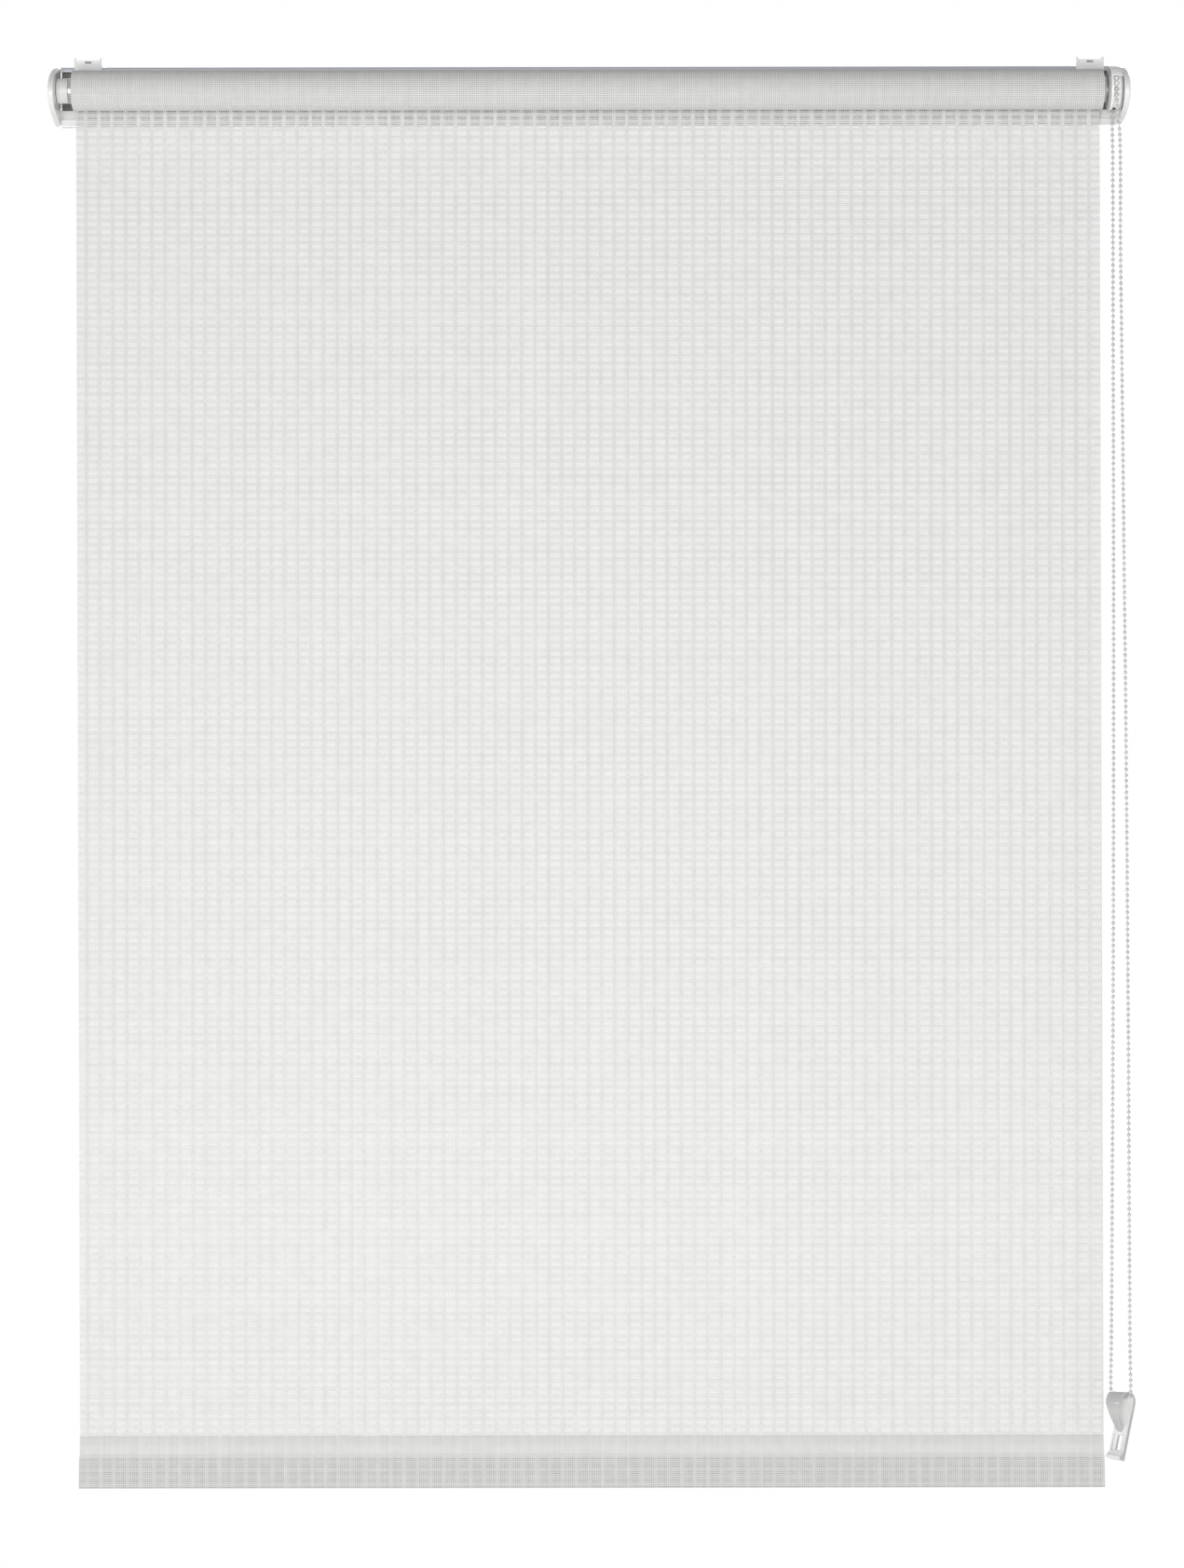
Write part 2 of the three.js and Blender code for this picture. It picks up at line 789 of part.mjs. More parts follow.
class Wrap extends THREE.Curve {
  getPoint(t, target = new THREE.Vector3()) {
    const trim = GAP / wheelPitchRadius;
    const angle = trim + (Math.PI - 2 * trim) * t;
    return target.set(
      beadPlane,
      axisY + wheelPitchRadius * Math.cos(angle),
      axisZ + wheelPitchRadius * Math.sin(angle),
    );
  }
}
add("bead_chain_wrap", tube(new Wrap(), beadRadius, 8, 16), beadPlastic);

// Tensioner: a teardrop sleeve on the chain's lowest beads, with a slotted tongue below it.
// Its section is drawn square and then leaned, in (towards the room side, up).

function sleeveOutline() {
  const back = -SLEEVE_RADIUS;
  const front = back + TONGUE_THICKNESS;
  const lip = front + TONGUE_LIP;
  const shape = new THREE.Shape();
  shape.moveTo(back, -TONGUE_LENGTH);
  shape.lineTo(lip, -TONGUE_LENGTH + 0.8);
  shape.lineTo(lip, -TONGUE_LENGTH + 2.4);
  shape.lineTo(front + 1, -TONGUE_LENGTH + 4);
  shape.lineTo(front, -RECESS_BOTTOM);
  shape.lineTo(front, -TONGUE_TOP);
  shape.lineTo(front + 2, -TONGUE_TOP + 0.8);
  shape.lineTo(-0.4, -17);
  shape.lineTo(2.5, -12.9);
  shape.lineTo(5.6, -8.4);
  shape.absarc(0, 0, SLEEVE_RADIUS, -0.25, Math.PI, false);
  return shape;
}

// The chain's room: round at the top, and narrowing to a point between the two legs.
function sleeveHollow() {
  const middle = SLEEVE_RADIUS - SLEEVE_WALL - HOLLOW_RADIUS;
  const shape = new THREE.Shape();
  shape.moveTo(-2, -12.2);
  shape.lineTo(3.4, -6.6);
  shape.absarc(HOLLOW_FORWARD, middle, HOLLOW_RADIUS, -0.35, Math.PI, false);
  shape.lineTo(-3.6, -4);
  return shape;
}

function sleevePrism(shape, length, bevel) {
  const geometry = new THREE.ExtrudeGeometry(shape, {
    depth: length - 2 * bevel,
    bevelEnabled: bevel > 0,
    bevelThickness: bevel,
    bevelSize: bevel,
    bevelOffset: -bevel,
    bevelSegments: 1,
    curveSegments: 14,
  });
  geometry.translate(0, 0, -length / 2 + bevel);
  return solid(geometry);
}

// The two wedges that narrow the front leg towards the tongue.
function sleeveTapers(front) {
  const angle = (TAPER * Math.PI) / 180;
  return [-1, 1].map((side) => {
    const wedge = box(front, SLEEVE_RADIUS + 2, -TONGUE_TOP, 0, 0, SLEEVE_LENGTH);
    if (side < 0) wedge.translate(0, 0, -SLEEVE_LENGTH);
    wedge.rotateX(side * angle);
    wedge.translate(0, -TAPER_TOP, (side * SLEEVE_LENGTH) / 2);
    return solid(wedge);
  });
}

const turn = (SLEEVE_TURN * Math.PI) / 180;
const lean = (SLEEVE_LEAN * Math.PI) / 180;
const outward = new THREE.Vector3(-Math.sin(turn), -Math.cos(turn), 0);
const across = new THREE.Vector3(-Math.cos(turn), Math.sin(turn), 0);
const low = route.getPointAt((turnStart + turnEnd) / 2 / routeLength);
const sleeveCentre = new THREE.Vector3(
  low.x,
  low.y,
  low.z + CEILING - (SLEEVE_RADIUS - SLEEVE_WALL),
);

function tensioner() {
  const body = sleevePrism(sleeveOutline(), SLEEVE_LENGTH, 0.3);
  const hollow = sleevePrism(sleeveHollow(), SLEEVE_LENGTH + 2, 0);
  const back = -SLEEVE_RADIUS;
  const front = back + TONGUE_THICKNESS;
  const slot = box(
    back - 1,
    front + 1,
    -SCREW_SLOT_BOTTOM,
    -SCREW_SLOT_TOP,
    -SCREW_SLOT / 2,
    SCREW_SLOT / 2,
  );
  const panel = box(
    front - TONGUE_RECESS,
    front + 1,
    -RECESS_BOTTOM,
    -RECESS_TOP,
    -SLEEVE_LENGTH / 2 + TONGUE_BORDER,
    SLEEVE_LENGTH / 2 - TONGUE_BORDER,
  );
  const cuts = [hollow, solid(slot), solid(panel), ...sleeveTapers(front)];
  const geometry = geometryOf(cuts.reduce((a, b) => a.subtract(b), body));
  geometry.rotateZ(lean);
  const basis = new THREE.Matrix4().makeBasis(outward, new THREE.Vector3(0, 0, 1), across);
  geometry.applyMatrix4(basis);
  geometry.translate(sleeveCentre.x, sleeveCentre.y, sleeveCentre.z);
  return geometry;
}

add("chain_tensioner", tensioner(), tensionerPlastic);

export default object;
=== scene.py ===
"""The looks of a clamp-on roller blind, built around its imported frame.

Metres, +Z up, the room side faces -Y.
"""

import math
from contextlib import contextmanager

import bmesh
import bpy
from mathutils import Matrix, Vector


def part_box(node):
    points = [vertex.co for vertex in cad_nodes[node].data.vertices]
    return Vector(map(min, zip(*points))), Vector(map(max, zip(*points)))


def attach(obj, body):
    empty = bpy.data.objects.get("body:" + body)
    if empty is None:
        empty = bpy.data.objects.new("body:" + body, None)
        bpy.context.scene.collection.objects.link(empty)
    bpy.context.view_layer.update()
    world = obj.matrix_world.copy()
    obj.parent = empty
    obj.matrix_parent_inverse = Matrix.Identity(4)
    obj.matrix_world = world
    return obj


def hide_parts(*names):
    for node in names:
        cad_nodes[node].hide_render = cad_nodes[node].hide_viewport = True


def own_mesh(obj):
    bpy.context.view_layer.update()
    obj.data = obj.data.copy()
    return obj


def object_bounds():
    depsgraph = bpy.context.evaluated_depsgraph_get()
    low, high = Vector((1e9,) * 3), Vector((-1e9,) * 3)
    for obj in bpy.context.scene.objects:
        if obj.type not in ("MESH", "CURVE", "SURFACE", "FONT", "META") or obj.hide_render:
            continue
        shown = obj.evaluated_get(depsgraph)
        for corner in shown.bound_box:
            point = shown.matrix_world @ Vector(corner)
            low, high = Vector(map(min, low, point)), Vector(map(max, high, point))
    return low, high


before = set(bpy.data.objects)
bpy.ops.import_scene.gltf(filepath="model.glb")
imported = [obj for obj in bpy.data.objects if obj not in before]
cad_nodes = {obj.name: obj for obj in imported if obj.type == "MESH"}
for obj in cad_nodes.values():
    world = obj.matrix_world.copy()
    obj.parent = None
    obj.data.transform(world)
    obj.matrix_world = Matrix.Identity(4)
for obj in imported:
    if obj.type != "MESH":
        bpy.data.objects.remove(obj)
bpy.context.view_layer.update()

MM = 0.001

# Places and sizes, from the frame's own boxes


def middle(node, axis):
    low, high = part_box(node)
    return (low[axis] + high[axis]) / 2


roll_low, roll_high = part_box("wound_fabric")
axis_y = middle("wound_fabric", 1)
axis_z = middle("wound_fabric", 2)
roll_radius = (roll_high.z - roll_low.z) / 2
tube_low, tube_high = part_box("roller_tube")
tube_radius = (tube_high.z - tube_low.z) / 2
panel_low, panel_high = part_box("fabric_panel")
hem_low, hem_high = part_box("hem_sleeve")
bar_low, bar_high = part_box("bottom_bar")
rail_low, rail_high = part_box("rail")
wheel_low, wheel_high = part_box("chain_wheel")
wheel_radius = (wheel_high.z - wheel_low.z) / 2
chain_low, chain_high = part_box("bead_chain_wrap")
bead_x = middle("bead_chain_wrap", 0)
BEAD = chain_high.x - chain_low.x
pitch_radius = chain_high.z - axis_z - BEAD / 2
CLOTH = panel_high.y - panel_low.y
THREAD = 1.4 * MM
RAIL_WALL = 1.4 * MM


# Camera: in front of the blind and level, at half its height

CAMERA_PLACE = (0.0014, -2.76675, -0.5112)
CAMERA_ROLL = -0.0015
LENS = 56.83
SENSOR_HEIGHT = 24


def make_camera():
    data = bpy.data.cameras.new("camera")
    data.sensor_fit = "VERTICAL"
    data.sensor_height = SENSOR_HEIGHT
    data.lens = LENS
    data.clip_start = 0.05
    camera = bpy.data.objects.new("camera", data)
    bpy.context.scene.collection.objects.link(camera)
    roll = Matrix.Rotation(CAMERA_ROLL, 4, "Z")
    level = Matrix.Rotation(math.pi / 2, 4, "X")
    camera.matrix_world = Matrix.Translation(CAMERA_PLACE) @ level @ roll
    bpy.context.scene.camera = camera


make_camera()


# Nodes: short ways to write shader arithmetic


class Nodes:
    """A node tree, with calls that add one node and give its output."""

    def __init__(self, tree):
        self.tree = tree

    def node(self, kind, **inputs):
        made = self.tree.nodes.new(kind)
        for key, value in inputs.items():
            self.plug(made.inputs[key.replace("_", " ")], value)
        return made.outputs[0]

    def plug(self, socket, value):
        if isinstance(value, bpy.types.NodeSocket):
            self.tree.links.new(value, socket)
        else:
            socket.default_value = value

    def math(self, operation, a, b=0.0, c=0.0):
        made = self.tree.nodes.new("ShaderNodeMath")
        made.operation = operation
        for socket, value in zip(made.inputs, (a, b, c)):
            self.plug(socket, value)
        return made.outputs[0]

    def plus(self, a, b):
        return self.math("ADD", a, b)

    def minus(self, a, b):
        return self.math("SUBTRACT", a, b)

    def times(self, a, b):
        return self.math("MULTIPLY", a, b)

    def ramp(self, value, low, high, to_low=0.0, to_high=1.0):
        made = self.tree.nodes.new("ShaderNodeMapRange")
        made.interpolation_type = "SMOOTHSTEP"
        for key, item in zip(
            ("Value", "From Min", "From Max", "To Min", "To Max"),
            (value, low, high, to_low, to_high),
        ):
            self.plug(made.inputs[key], item)
        return made.outputs[0]

    def mix(self, factor, a, b, blend="MIX"):
        made = self.tree.nodes.new("ShaderNodeMix")
        made.data_type = "RGBA"
        made.blend_type = blend
        for socket, value in zip((made.inputs[0], made.inputs[6], made.inputs[7]), (factor, a, b)):
            self.plug(socket, value)
        return made.outputs[2]

    def noise(self, vector, scale, detail=2.0, roughness=0.5):
        return self.node(
            "ShaderNodeTexNoise",
            Vector=vector,
            Scale=scale,
            Detail=detail,
            Roughness=roughness,
        )

    def place(self, source="Object"):
        made = self.tree.nodes.new("ShaderNodeTexCoord")
        return made.outputs[source]

    def split(self, vector):
        """The X, Y and Z of a vector."""
        made = self.tree.nodes.new("ShaderNodeSeparateXYZ")
        self.plug(made.inputs[0], vector)
        return made.outputs

    def stretched(self, vector, scale):
        made = self.tree.nodes.new("ShaderNodeMapping")
        self.plug(made.inputs["Vector"], vector)
        made.inputs["Scale"].default_value = scale
        return made.outputs[0]


class Shader(Nodes):
    """A new material's nodes."""

    def __init__(self, name):
        self.material = bpy.data.materials.new(name)
        self.material.use_nodes = True
        super().__init__(self.material.node_tree)
        self.principled = self.tree.nodes["Principled BSDF"]

    def bump(self, height, distance, strength=1.0):
        made = self.tree.nodes.new("ShaderNodeBump")
        made.inputs["Strength"].default_value = strength
        made.inputs["Distance"].default_value = distance
        self.plug(made.inputs["Height"], height)
        self.plug(self.principled.inputs["Normal"], made.outputs[0])

    def set(self, **values):
        for key, value in values.items():
            self.plug(self.principled.inputs[key.replace("_", " ")], value)


def grey(r, g=None, b=None):
    return (r, r if g is None else g, r if b is None else b, 1.0)


# Materials


def moulded(name, colour, roughness, gloss=0.0, clear=0.0, grain=0.00004):
    """Moulded plastic: faint cloudy tone, fine spark-eroded grain, duller where it is handled."""
    s = Shader(name)
    place = s.place()
    cloud = s.noise(place, 38.0, 3.0)
    fleck = s.noise(place, 900.0, 2.0)
    darker = tuple(0.93 * v for v in colour[:3]) + (1.0,)
    s.set(Base_Color=s.mix(s.ramp(cloud, 0.35, 0.7), darker, colour))
    handled = s.noise(place, 120.0, 4.0)
    s.set(Roughness=s.ramp(handled, 0.3, 0.75, roughness - 0.06, roughness + 0.1))
    s.set(IOR=1.49, Coat_Weight=gloss, Coat_Roughness=0.12)
    if clear:
        s.set(Subsurface_Weight=clear, Subsurface_Scale=0.002, Subsurface_Radius=(1.0, 1.0, 0.95))
    s.bump(fleck, grain, 0.5)
    return s.material


def drawn_metal(name, colour, roughness, along=(1.0, 60.0, 60.0), metallic=1.0, low=None):
    """Metal with fine lines from the die or the brush, running along one direction.

    low is a height and the paler colour it takes below that, where light comes back off the lip.
    """
    s = Shader(name)
    lines = s.noise(s.stretched(s.place(), along), 45.0, 4.0, 0.6)
    smudge = s.noise(s.place(), 22.0, 3.0)
    darker = tuple(0.9 * v for v in colour[:3]) + (1.0,)
    tone = s.mix(s.ramp(lines, 0.3, 0.7), darker, colour)
    if low:
        up = s.split(s.place())["Z"]
        tone = s.mix(s.ramp(up, low[0] - MM, low[0] + MM), low[1], tone)
    s.set(Base_Color=tone)
    s.set(Metallic=metallic)
    wear = s.plus(s.times(lines, 0.12), s.times(smudge, 0.08))
    s.set(Roughness=s.plus(wear, roughness - 0.1))
    s.bump(lines, 0.00003, 0.6)
    return s.material


def hem_shade(s, shade, hole, along):
    """Painted shade: holes over the bar darker than over the second layer of cloth above it, the
    strip over the bar a little darker, and the bottom fold darker.
    """
    down = s.math("PINGPONG", along, HEM_FRONT)
    seam = (HEM_FLAT - 0.4 * MM, HEM_FLAT + 0.8 * MM)
    behind = s.ramp(down, *seam, 0.84, 0.45)
    lost = s.times(hole, s.minus(1.0, behind))
    shade = s.times(shade, s.ramp(down, *seam, 1.0, 0.92))
    shade = s.times(shade, s.minus(1.0, lost))
    fold = s.math("ABSOLUTE", s.minus(down, HEM_FRONT))
    return s.times(shade, s.ramp(fold, 0.3 * MM, 2.2 * MM, 0.84, 1.0))


def woven(name, source, tone, halves, hole_shade, grain=0.05, uneven_by=0.12):
    """Screen cloth: off-white threads with slubs, open in groups that make a fine check.

    halves are half a thread's width over half the pitch, where it is open and where it is packed.
    hole_shade is None for real holes, "hem" for the hem's painted shade, or the painted shade of a
    hole over the layer behind. grain is how much threads differ in tone, uneven_by how much in
    width.
    """
    s = Shader(name)
    parts = s.split(s.place(source))
    across = parts["X"]
    along = parts["Z" if source == "Object" else "Y"]
    slub = s.noise(s.place(source), 140.0, 2.0)
    threads = []
    for length, group, phase in ((across, 7.0, 0.2), (along, 4.0, 0.6)):
        count = s.math("DIVIDE", length, THREAD)
        count = s.plus(count, s.times(s.minus(slub, 0.5), 0.24))
        index = s.math("FLOOR", count)
        off = s.times(s.math("ABSOLUTE", s.minus(s.math("FRACT", count), 0.5)), 2.0)
        chance = s.tree.nodes.new("ShaderNodeTexWhiteNoise")
        chance.noise_dimensions = "1D"
        s.plug(chance.inputs["W"], index)
        uneven = s.minus(chance.outputs[0], 0.5)
        turn = s.times(s.plus(s.math("DIVIDE", index, group), phase), 2 * math.pi)
        packed = s.ramp(s.math("COSINE", turn), 0.2, 0.95)
        half = s.math("MULTIPLY_ADD", packed, halves[1] - halves[0], halves[0])
        half = s.math("MULTIPLY_ADD", uneven, uneven_by, half)
        gap = s.ramp(off, s.minus(half, 0.07), s.plus(half, 0.07))
        round_top = s.math("SQRT", s.minus(1.0, s.times(off, off)))
        threads.append((index, gap, round_top, uneven))
    (i, gap_u, top_u, uneven_u), (j, gap_v, top_v, uneven_v) = threads
    hole = s.times(gap_u, gap_v)
    over = s.math("PINGPONG", s.plus(i, j), 1.0)
    rise_u = s.times(top_u, s.math("MULTIPLY_ADD", over, 0.4, 0.6))
    rise_v = s.times(top_v, s.math("MULTIPLY_ADD", over, -0.4, 1.0))
    height = s.math("MAXIMUM", rise_u, rise_v)
    shade = s.math("MULTIPLY_ADD", s.plus(uneven_u, uneven_v), grain, 0.96)
    shade = s.times(shade, s.ramp(slub, 0.25, 0.75, 0.97, 1.02))
    # painted shade on each thread's round flanks and where it dips under the other
    shade = s.times(shade, s.ramp(height, 0.3, 0.95, 0.88, 1.0))
    if hole_shade == "hem":
        shade = hem_shade(s, shade, hole, along)
    elif hole_shade is not None:
        # painted shade in the holes, for the layer behind them
        shade = s.times(shade, s.ramp(hole, 0.0, 1.0, 1.0, hole_shade))
    shade = s.node("ShaderNodeCombineColor", Red=shade, Green=shade, Blue=shade)
    s.set(Base_Color=s.mix(1.0, tone, shade, "MULTIPLY"), Roughness=0.88)
    s.set(Sheen_Weight=0.12, Sheen_Roughness=0.5)
    if hole_shade is None:
        s.set(Alpha=s.minus(1.0, s.times(hole, 0.96)))
    s.bump(height, 0.0001, 0.55)
    return s.material


HEM_FRONT = hem_high.z - hem_low.z
HEM_FLAT = hem_high.z - bar_high.z - 1.2 * MM  # height of the doubled strip above the bar
# Painted bounce light: the rail's painted-shade inside turns pale below this height.
PALE_BELOW = axis_z - roll_radius + 3.6 * MM  # the inside of the rail is pale below this
PLASTIC = moulded("white_plastic", grey(0.885, 0.885, 0.875), 0.28, gloss=0.25, clear=0.05)
# painted shade for the floor of the clamp's notch
NOTCH_FLOOR_SHADE = moulded("notch_floor_painted_shade", grey(0.34, 0.34, 0.345), 0.7)
CLAMP = moulded("clamp_plastic", grey(0.92, 0.923, 0.927), 0.38, gloss=0.1, clear=0.05)
WHEEL = moulded("wheel_plastic", grey(0.95, 0.95, 0.94), 0.28, gloss=0.2, clear=0.08)
GREY = moulded("grey_plastic", grey(0.62, 0.62, 0.61), 0.42)
HUB = moulded("hub_plastic", grey(0.36, 0.36, 0.37), 0.55, grain=0.00006)
# a dark ring of painted shadow, for the gap between the wheel and the right plate
SHADOW_RING_SHADE = moulded("shadow_ring_painted_shade", grey(0.13, 0.12, 0.09), 0.6)
# the chain's bead plastic painted lighter for the beads on the wheel, as painted light
BEADS_PAINTED_LIGHT = moulded("bead_plastic_painted_light", grey(0.93), 0.22, gloss=0.35, clear=0.3)
PLUG = moulded("plug_plastic", grey(0.80, 0.80, 0.79), 0.4)
BEADS = moulded("bead_plastic", grey(0.60, 0.60, 0.60), 0.22, gloss=0.35, clear=0.3)
TENSIONER = moulded("tensioner_plastic", grey(0.54, 0.54, 0.535), 0.12, gloss=1.0, clear=0.25)
TENSIONER_LIT = moulded(
    "tensioner_plastic_lit", grey(0.90, 0.90, 0.895), 0.2, gloss=0.6, clear=0.25
)
RAIL = drawn_metal("rail_aluminium", grey(0.9), 0.4, metallic=0.1)
# The rail's inside is painted shade, a dark tone for the shadow in the channel, with painted bounce
# light making it pale low down.
RAIL_INSIDE_SHADE = drawn_metal(
    "rail_inside_painted_shade",
    grey(0.21, 0.205, 0.19),
    0.5,
    metallic=0.3,
    low=(PALE_BELOW, grey(0.95)),
)
# The upper lip is the rail's metal painted darker, as painted shade where it faces up behind the
# roll.
RAIL_LIP_SHADE = drawn_metal("rail_upper_lip_painted_shade", grey(0.40, 0.415, 0.45), 0.36, metallic=0.5)
TUBE = drawn_metal("tube_aluminium", grey(0.5, 0.505, 0.51), 0.24)
BAR = drawn_metal("bar_aluminium", grey(0.66, 0.67, 0.69), 0.36)
STEEL = drawn_metal("steel", grey(0.55, 0.56, 0.58), 0.28, along=(1.0, 1.0, 1.0))
SCREEN = woven("screen_cloth", "Object", grey(0.78, 0.783, 0.768), (0.31, 0.9), None)
WOUND = woven(
    "wound_cloth",
    "UV",
    grey(0.755, 0.755, 0.735),
    (0.52, 0.6),
    0.5,
    grain=0.02,
    uneven_by=0.04,
)
DOUBLED = woven("doubled_cloth", "UV", grey(0.735, 0.737, 0.723), (0.5, 0.88), "hem", grain=0.03)


# Tools for making pieces


def piece(name, points, faces, material, smooth=32, uvs=None):
    """A mesh object. uvs, if given, is one (u, v) in metres for each point."""
    mesh = bpy.data.meshes.new(name)
    mesh.from_pydata([tuple(p) for p in points], [], faces)
    if uvs:
        layer = mesh.uv_layers.new(name="cloth")
        for loop in mesh.loops:
            layer.data[loop.index].uv = uvs[loop.vertex_index]
    mesh.materials.append(material)
    obj = bpy.data.objects.new(name, mesh)
    bpy.context.scene.collection.objects.link(obj)
    outward(obj)
    shade(obj, smooth)
    return obj


@contextmanager
def editing(obj):
    """The object's mesh open for changes, which are written back at the end."""
    work = bmesh.new()
    work.from_mesh(obj.data)
    yield work
    work.to_mesh(obj.data)
    work.free()


def outward(obj):
    with editing(obj) as work:
        bmesh.ops.recalc_face_normals(work, faces=work.faces)


def shade(obj, smooth):
    for polygon in obj.data.polygons:
        polygon.use_smooth = True
    obj.data.set_sharp_from_angle(angle=math.radians(smooth))


def apply_modifiers(obj):
    graph = bpy.context.evaluated_depsgraph_get()
    mesh = bpy.data.meshes.new_from_object(obj.evaluated_get(graph))
    obj.modifiers.clear()
    obj.data = mesh


def cut(obj, *cutters):
    for cutter in cutters:
        modifier = obj.modifiers.new("cut", "BOOLEAN")
        modifier.object = cutter
        modifier.solver = "EXACT"
    bpy.context.view_layer.update()
    apply_modifiers(obj)
    for cutter in cutters:
        bpy.data.objects.remove(cutter)


def weld(obj):
    """Joins the corners that faces share, and the triangles that lie in one plane."""
    flat = math.radians(0.8)
    with editing(obj) as work:
        bmesh.ops.remove_doubles(work, verts=work.verts, dist=1e-6)
        bmesh.ops.dissolve_limit(work, angle_limit=flat, verts=work.verts, edges=work.edges)


def softened(obj, width, segments=3, smooth=32):
    """Rounds the sharp edges, as a mould or a die leaves them."""
    weld(obj)
    modifier = obj.modifiers.new("round", "BEVEL")
    modifier.width = width
    modifier.segments = segments
    modifier.limit_method = "ANGLE"
    modifier.angle_limit = math.radians(35)
    modifier.harden_normals = False
    bpy.context.view_layer.update()
    apply_modifiers(obj)
    shade(obj, smooth)
    return obj


def node_copy(name, node, material):
    obj = bpy.data.objects.new(name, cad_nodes[node].data.copy())
    bpy.context.scene.collection.objects.link(obj)
    obj.data.materials.clear()
    obj.data.materials.append(material)
    return obj


def like_node(name, node, material, width):
    """A copy of a CAD node's shape with its edges rounded."""
    return softened(node_copy(name, node, material), width)


def rectangle(x0, x1, y0, y1):
    return [(x0, y0), (x1, y0), (x1, y1), (x0, y1)]


def rounded(corners, radius, steps=4):
    """A closed outline with each corner turned into a small arc."""
    outline = []
    for k, corner in enumerate(corners):
        here = Vector(corner)
        before, after = Vector(corners[k - 1]), Vector(corners[(k + 1) % len(corners)])
        reach = min(radius, 0.45 * (before - here).length, 0.45 * (after - here).length)
        start = here + (before - here).normalized() * reach
        end = here + (after - here).normalized() * reach
        for i in range(steps + 1):
            t = i / steps
            outline.append(start * (1 - t) ** 2 + here * 2 * t * (1 - t) + end * t * t)
    return outline


def arc(radius, start, end, steps):
    """Points on an arc, angles in radians."""
    angles = [start + (end - start) * i / steps for i in range(steps + 1)]
    return [(radius * math.cos(a), radius * math.sin(a)) for a in angles]


def bezier(a, b, c, d, steps):
    """Points on a cubic curve from a to d, drawn towards b and c."""
    a, b, c, d = (Vector(p) for p in (a, b, c, d))
    points = []
    for i in range(steps + 1):
        t = i / steps
        near, far = a * (1 - t) ** 3 + b * 3 * t * (1 - t) ** 2, c * 3 * t * t * (1 - t)
        points.append(near + far + d * t**3)
    return points


def prism(name, outline, x0, x1, material):
    """An outline in (Y, Z), run along X."""
    n = len(outline)
    points = [(x, p[0], p[1]) for x in (x0, x1) for p in outline]
    faces = [(i, (i + 1) % n, n + (i + 1) % n, n + i) for i in range(n)]
    faces += [tuple(range(n))[::-1], tuple(range(n, 2 * n))]
    return piece(name, points, faces, material)


def block(name, low, high):
    """A plain block that only cuts."""
    outline = rectangle(low[1], high[1], low[2], high[2])
    return prism(name, outline, low[0], high[0], PLASTIC)


def turned(name, profile, material, segments=96, radius_at=None):
    """A closed profile of (x, radius), turned about the roller's axis.

    radius_at can shape each point.
    """
    n = len(profile)
    points = []
    for j in range(segments):
        angle = 2 * math.pi * j / segments
        for x, r in profile:
            if radius_at:
                r = radius_at(x, r, angle)
            points.append((x, axis_y + r * math.cos(angle), axis_z + r * math.sin(angle)))
    faces = []
    for j in range(segments):
        k = (j + 1) % segments
        for i in range(n):
            m = (i + 1) % n
            faces.append((j * n + i, j * n + m, k * n + m, k * n + i))
    return piece(name, points, faces, material)


def swept(name, rings, sides, material):
    """A closed tube through rings of (centre, radius)."""
    centres = [Vector(c) for c, _ in rings]
    tangents = []
    for k in range(len(centres)):
        a, b = centres[max(0, k - 1)], centres[min(len(centres) - 1, k + 1)]
        tangents.append((b - a).normalized())
    side = tangents[0].orthogonal().normalized()
    points = []
    for (_, radius), centre, tangent in zip(rings, centres, tangents):
        side = (side - tangent * side.dot(tangent)).normalized()
        up = tangent.cross(side)
        for i in range(sides):
            angle = 2 * math.pi * i / sides
            points.append(centre + (side * math.cos(angle) + up * math.sin(angle)) * radius)
    faces = []
    for k in range(len(rings) - 1):
        for i in range(sides):
            j = (i + 1) % sides
            a, b = k * sides, (k + 1) * sides
            faces.append((a + i, a + j, b + j, b + i))
    last = (len(rings) - 1) * sides
    faces += [tuple(range(sides))[::-1], tuple(range(last, last + sides))]
    return piece(name, points, faces, material, smooth=60)


# Bead chain: beads on a thread, down the front, round the tensioner's bend and up the back.
# X and Y count from the wheel's bead plane and the roller's axis, Z from the roller's axis.

CHAIN_ROUTE = [
    (0, -0.01337, 0),
    (0, -0.01337, -0.012),
    (0.0021, -0.0132, -0.034),
    (0.0026, -0.0126, -0.115),
    (0.0035, -0.0121, -0.197),
    (0.0044, -0.0115, -0.279),
    (0.0052, -0.0110, -0.361),
    (0.0061, -0.0104, -0.443),
    (0.0068, -0.0099, -0.526),
    (0.0074, -0.0093, -0.608),
    (0.0080, -0.0087, -0.690),
    (0.0084, -0.0082, -0.773),
    (0.0088, -0.0076, -0.855),
    (0.0092, -0.0071, -0.930),
    (0.0096, -0.0071, -0.9585),
    (0.0093, -0.0068, -0.9624),
    (0.0080, -0.0053, -0.9653),
    (0.0064, -0.0035, -0.966),
    (0.0033, 0, -0.966),
    (0.0002, 0.0035, -0.966),
    (-0.0014, 0.0053, -0.9653),
    (-0.0027, 0.0068, -0.9624),
    (-0.0030, 0.0071, -0.9585),
    (-0.0026, 0.0071, -0.930),
    (-0.0013, 0.0082, -0.775),
    (-0.0003, 0.0093, -0.609),
    (0.0003, 0.0104, -0.443),
    (0.0005, 0.0110, -0.360),
    (0.0006, 0.0121, -0.194),
    (0.0005, 0.0132, -0.034),
    (0, 0.01337, -0.012),
    (0, 0.01337, 0),
]
BEAD_PITCH = 4.2 * MM
STRING = 0.65 * MM
BEAD_RINGS = 8
BEAD_SIDES = 12
BEAD_SEEN = 0.93  # of the CAD chain's width, which is a plain tube


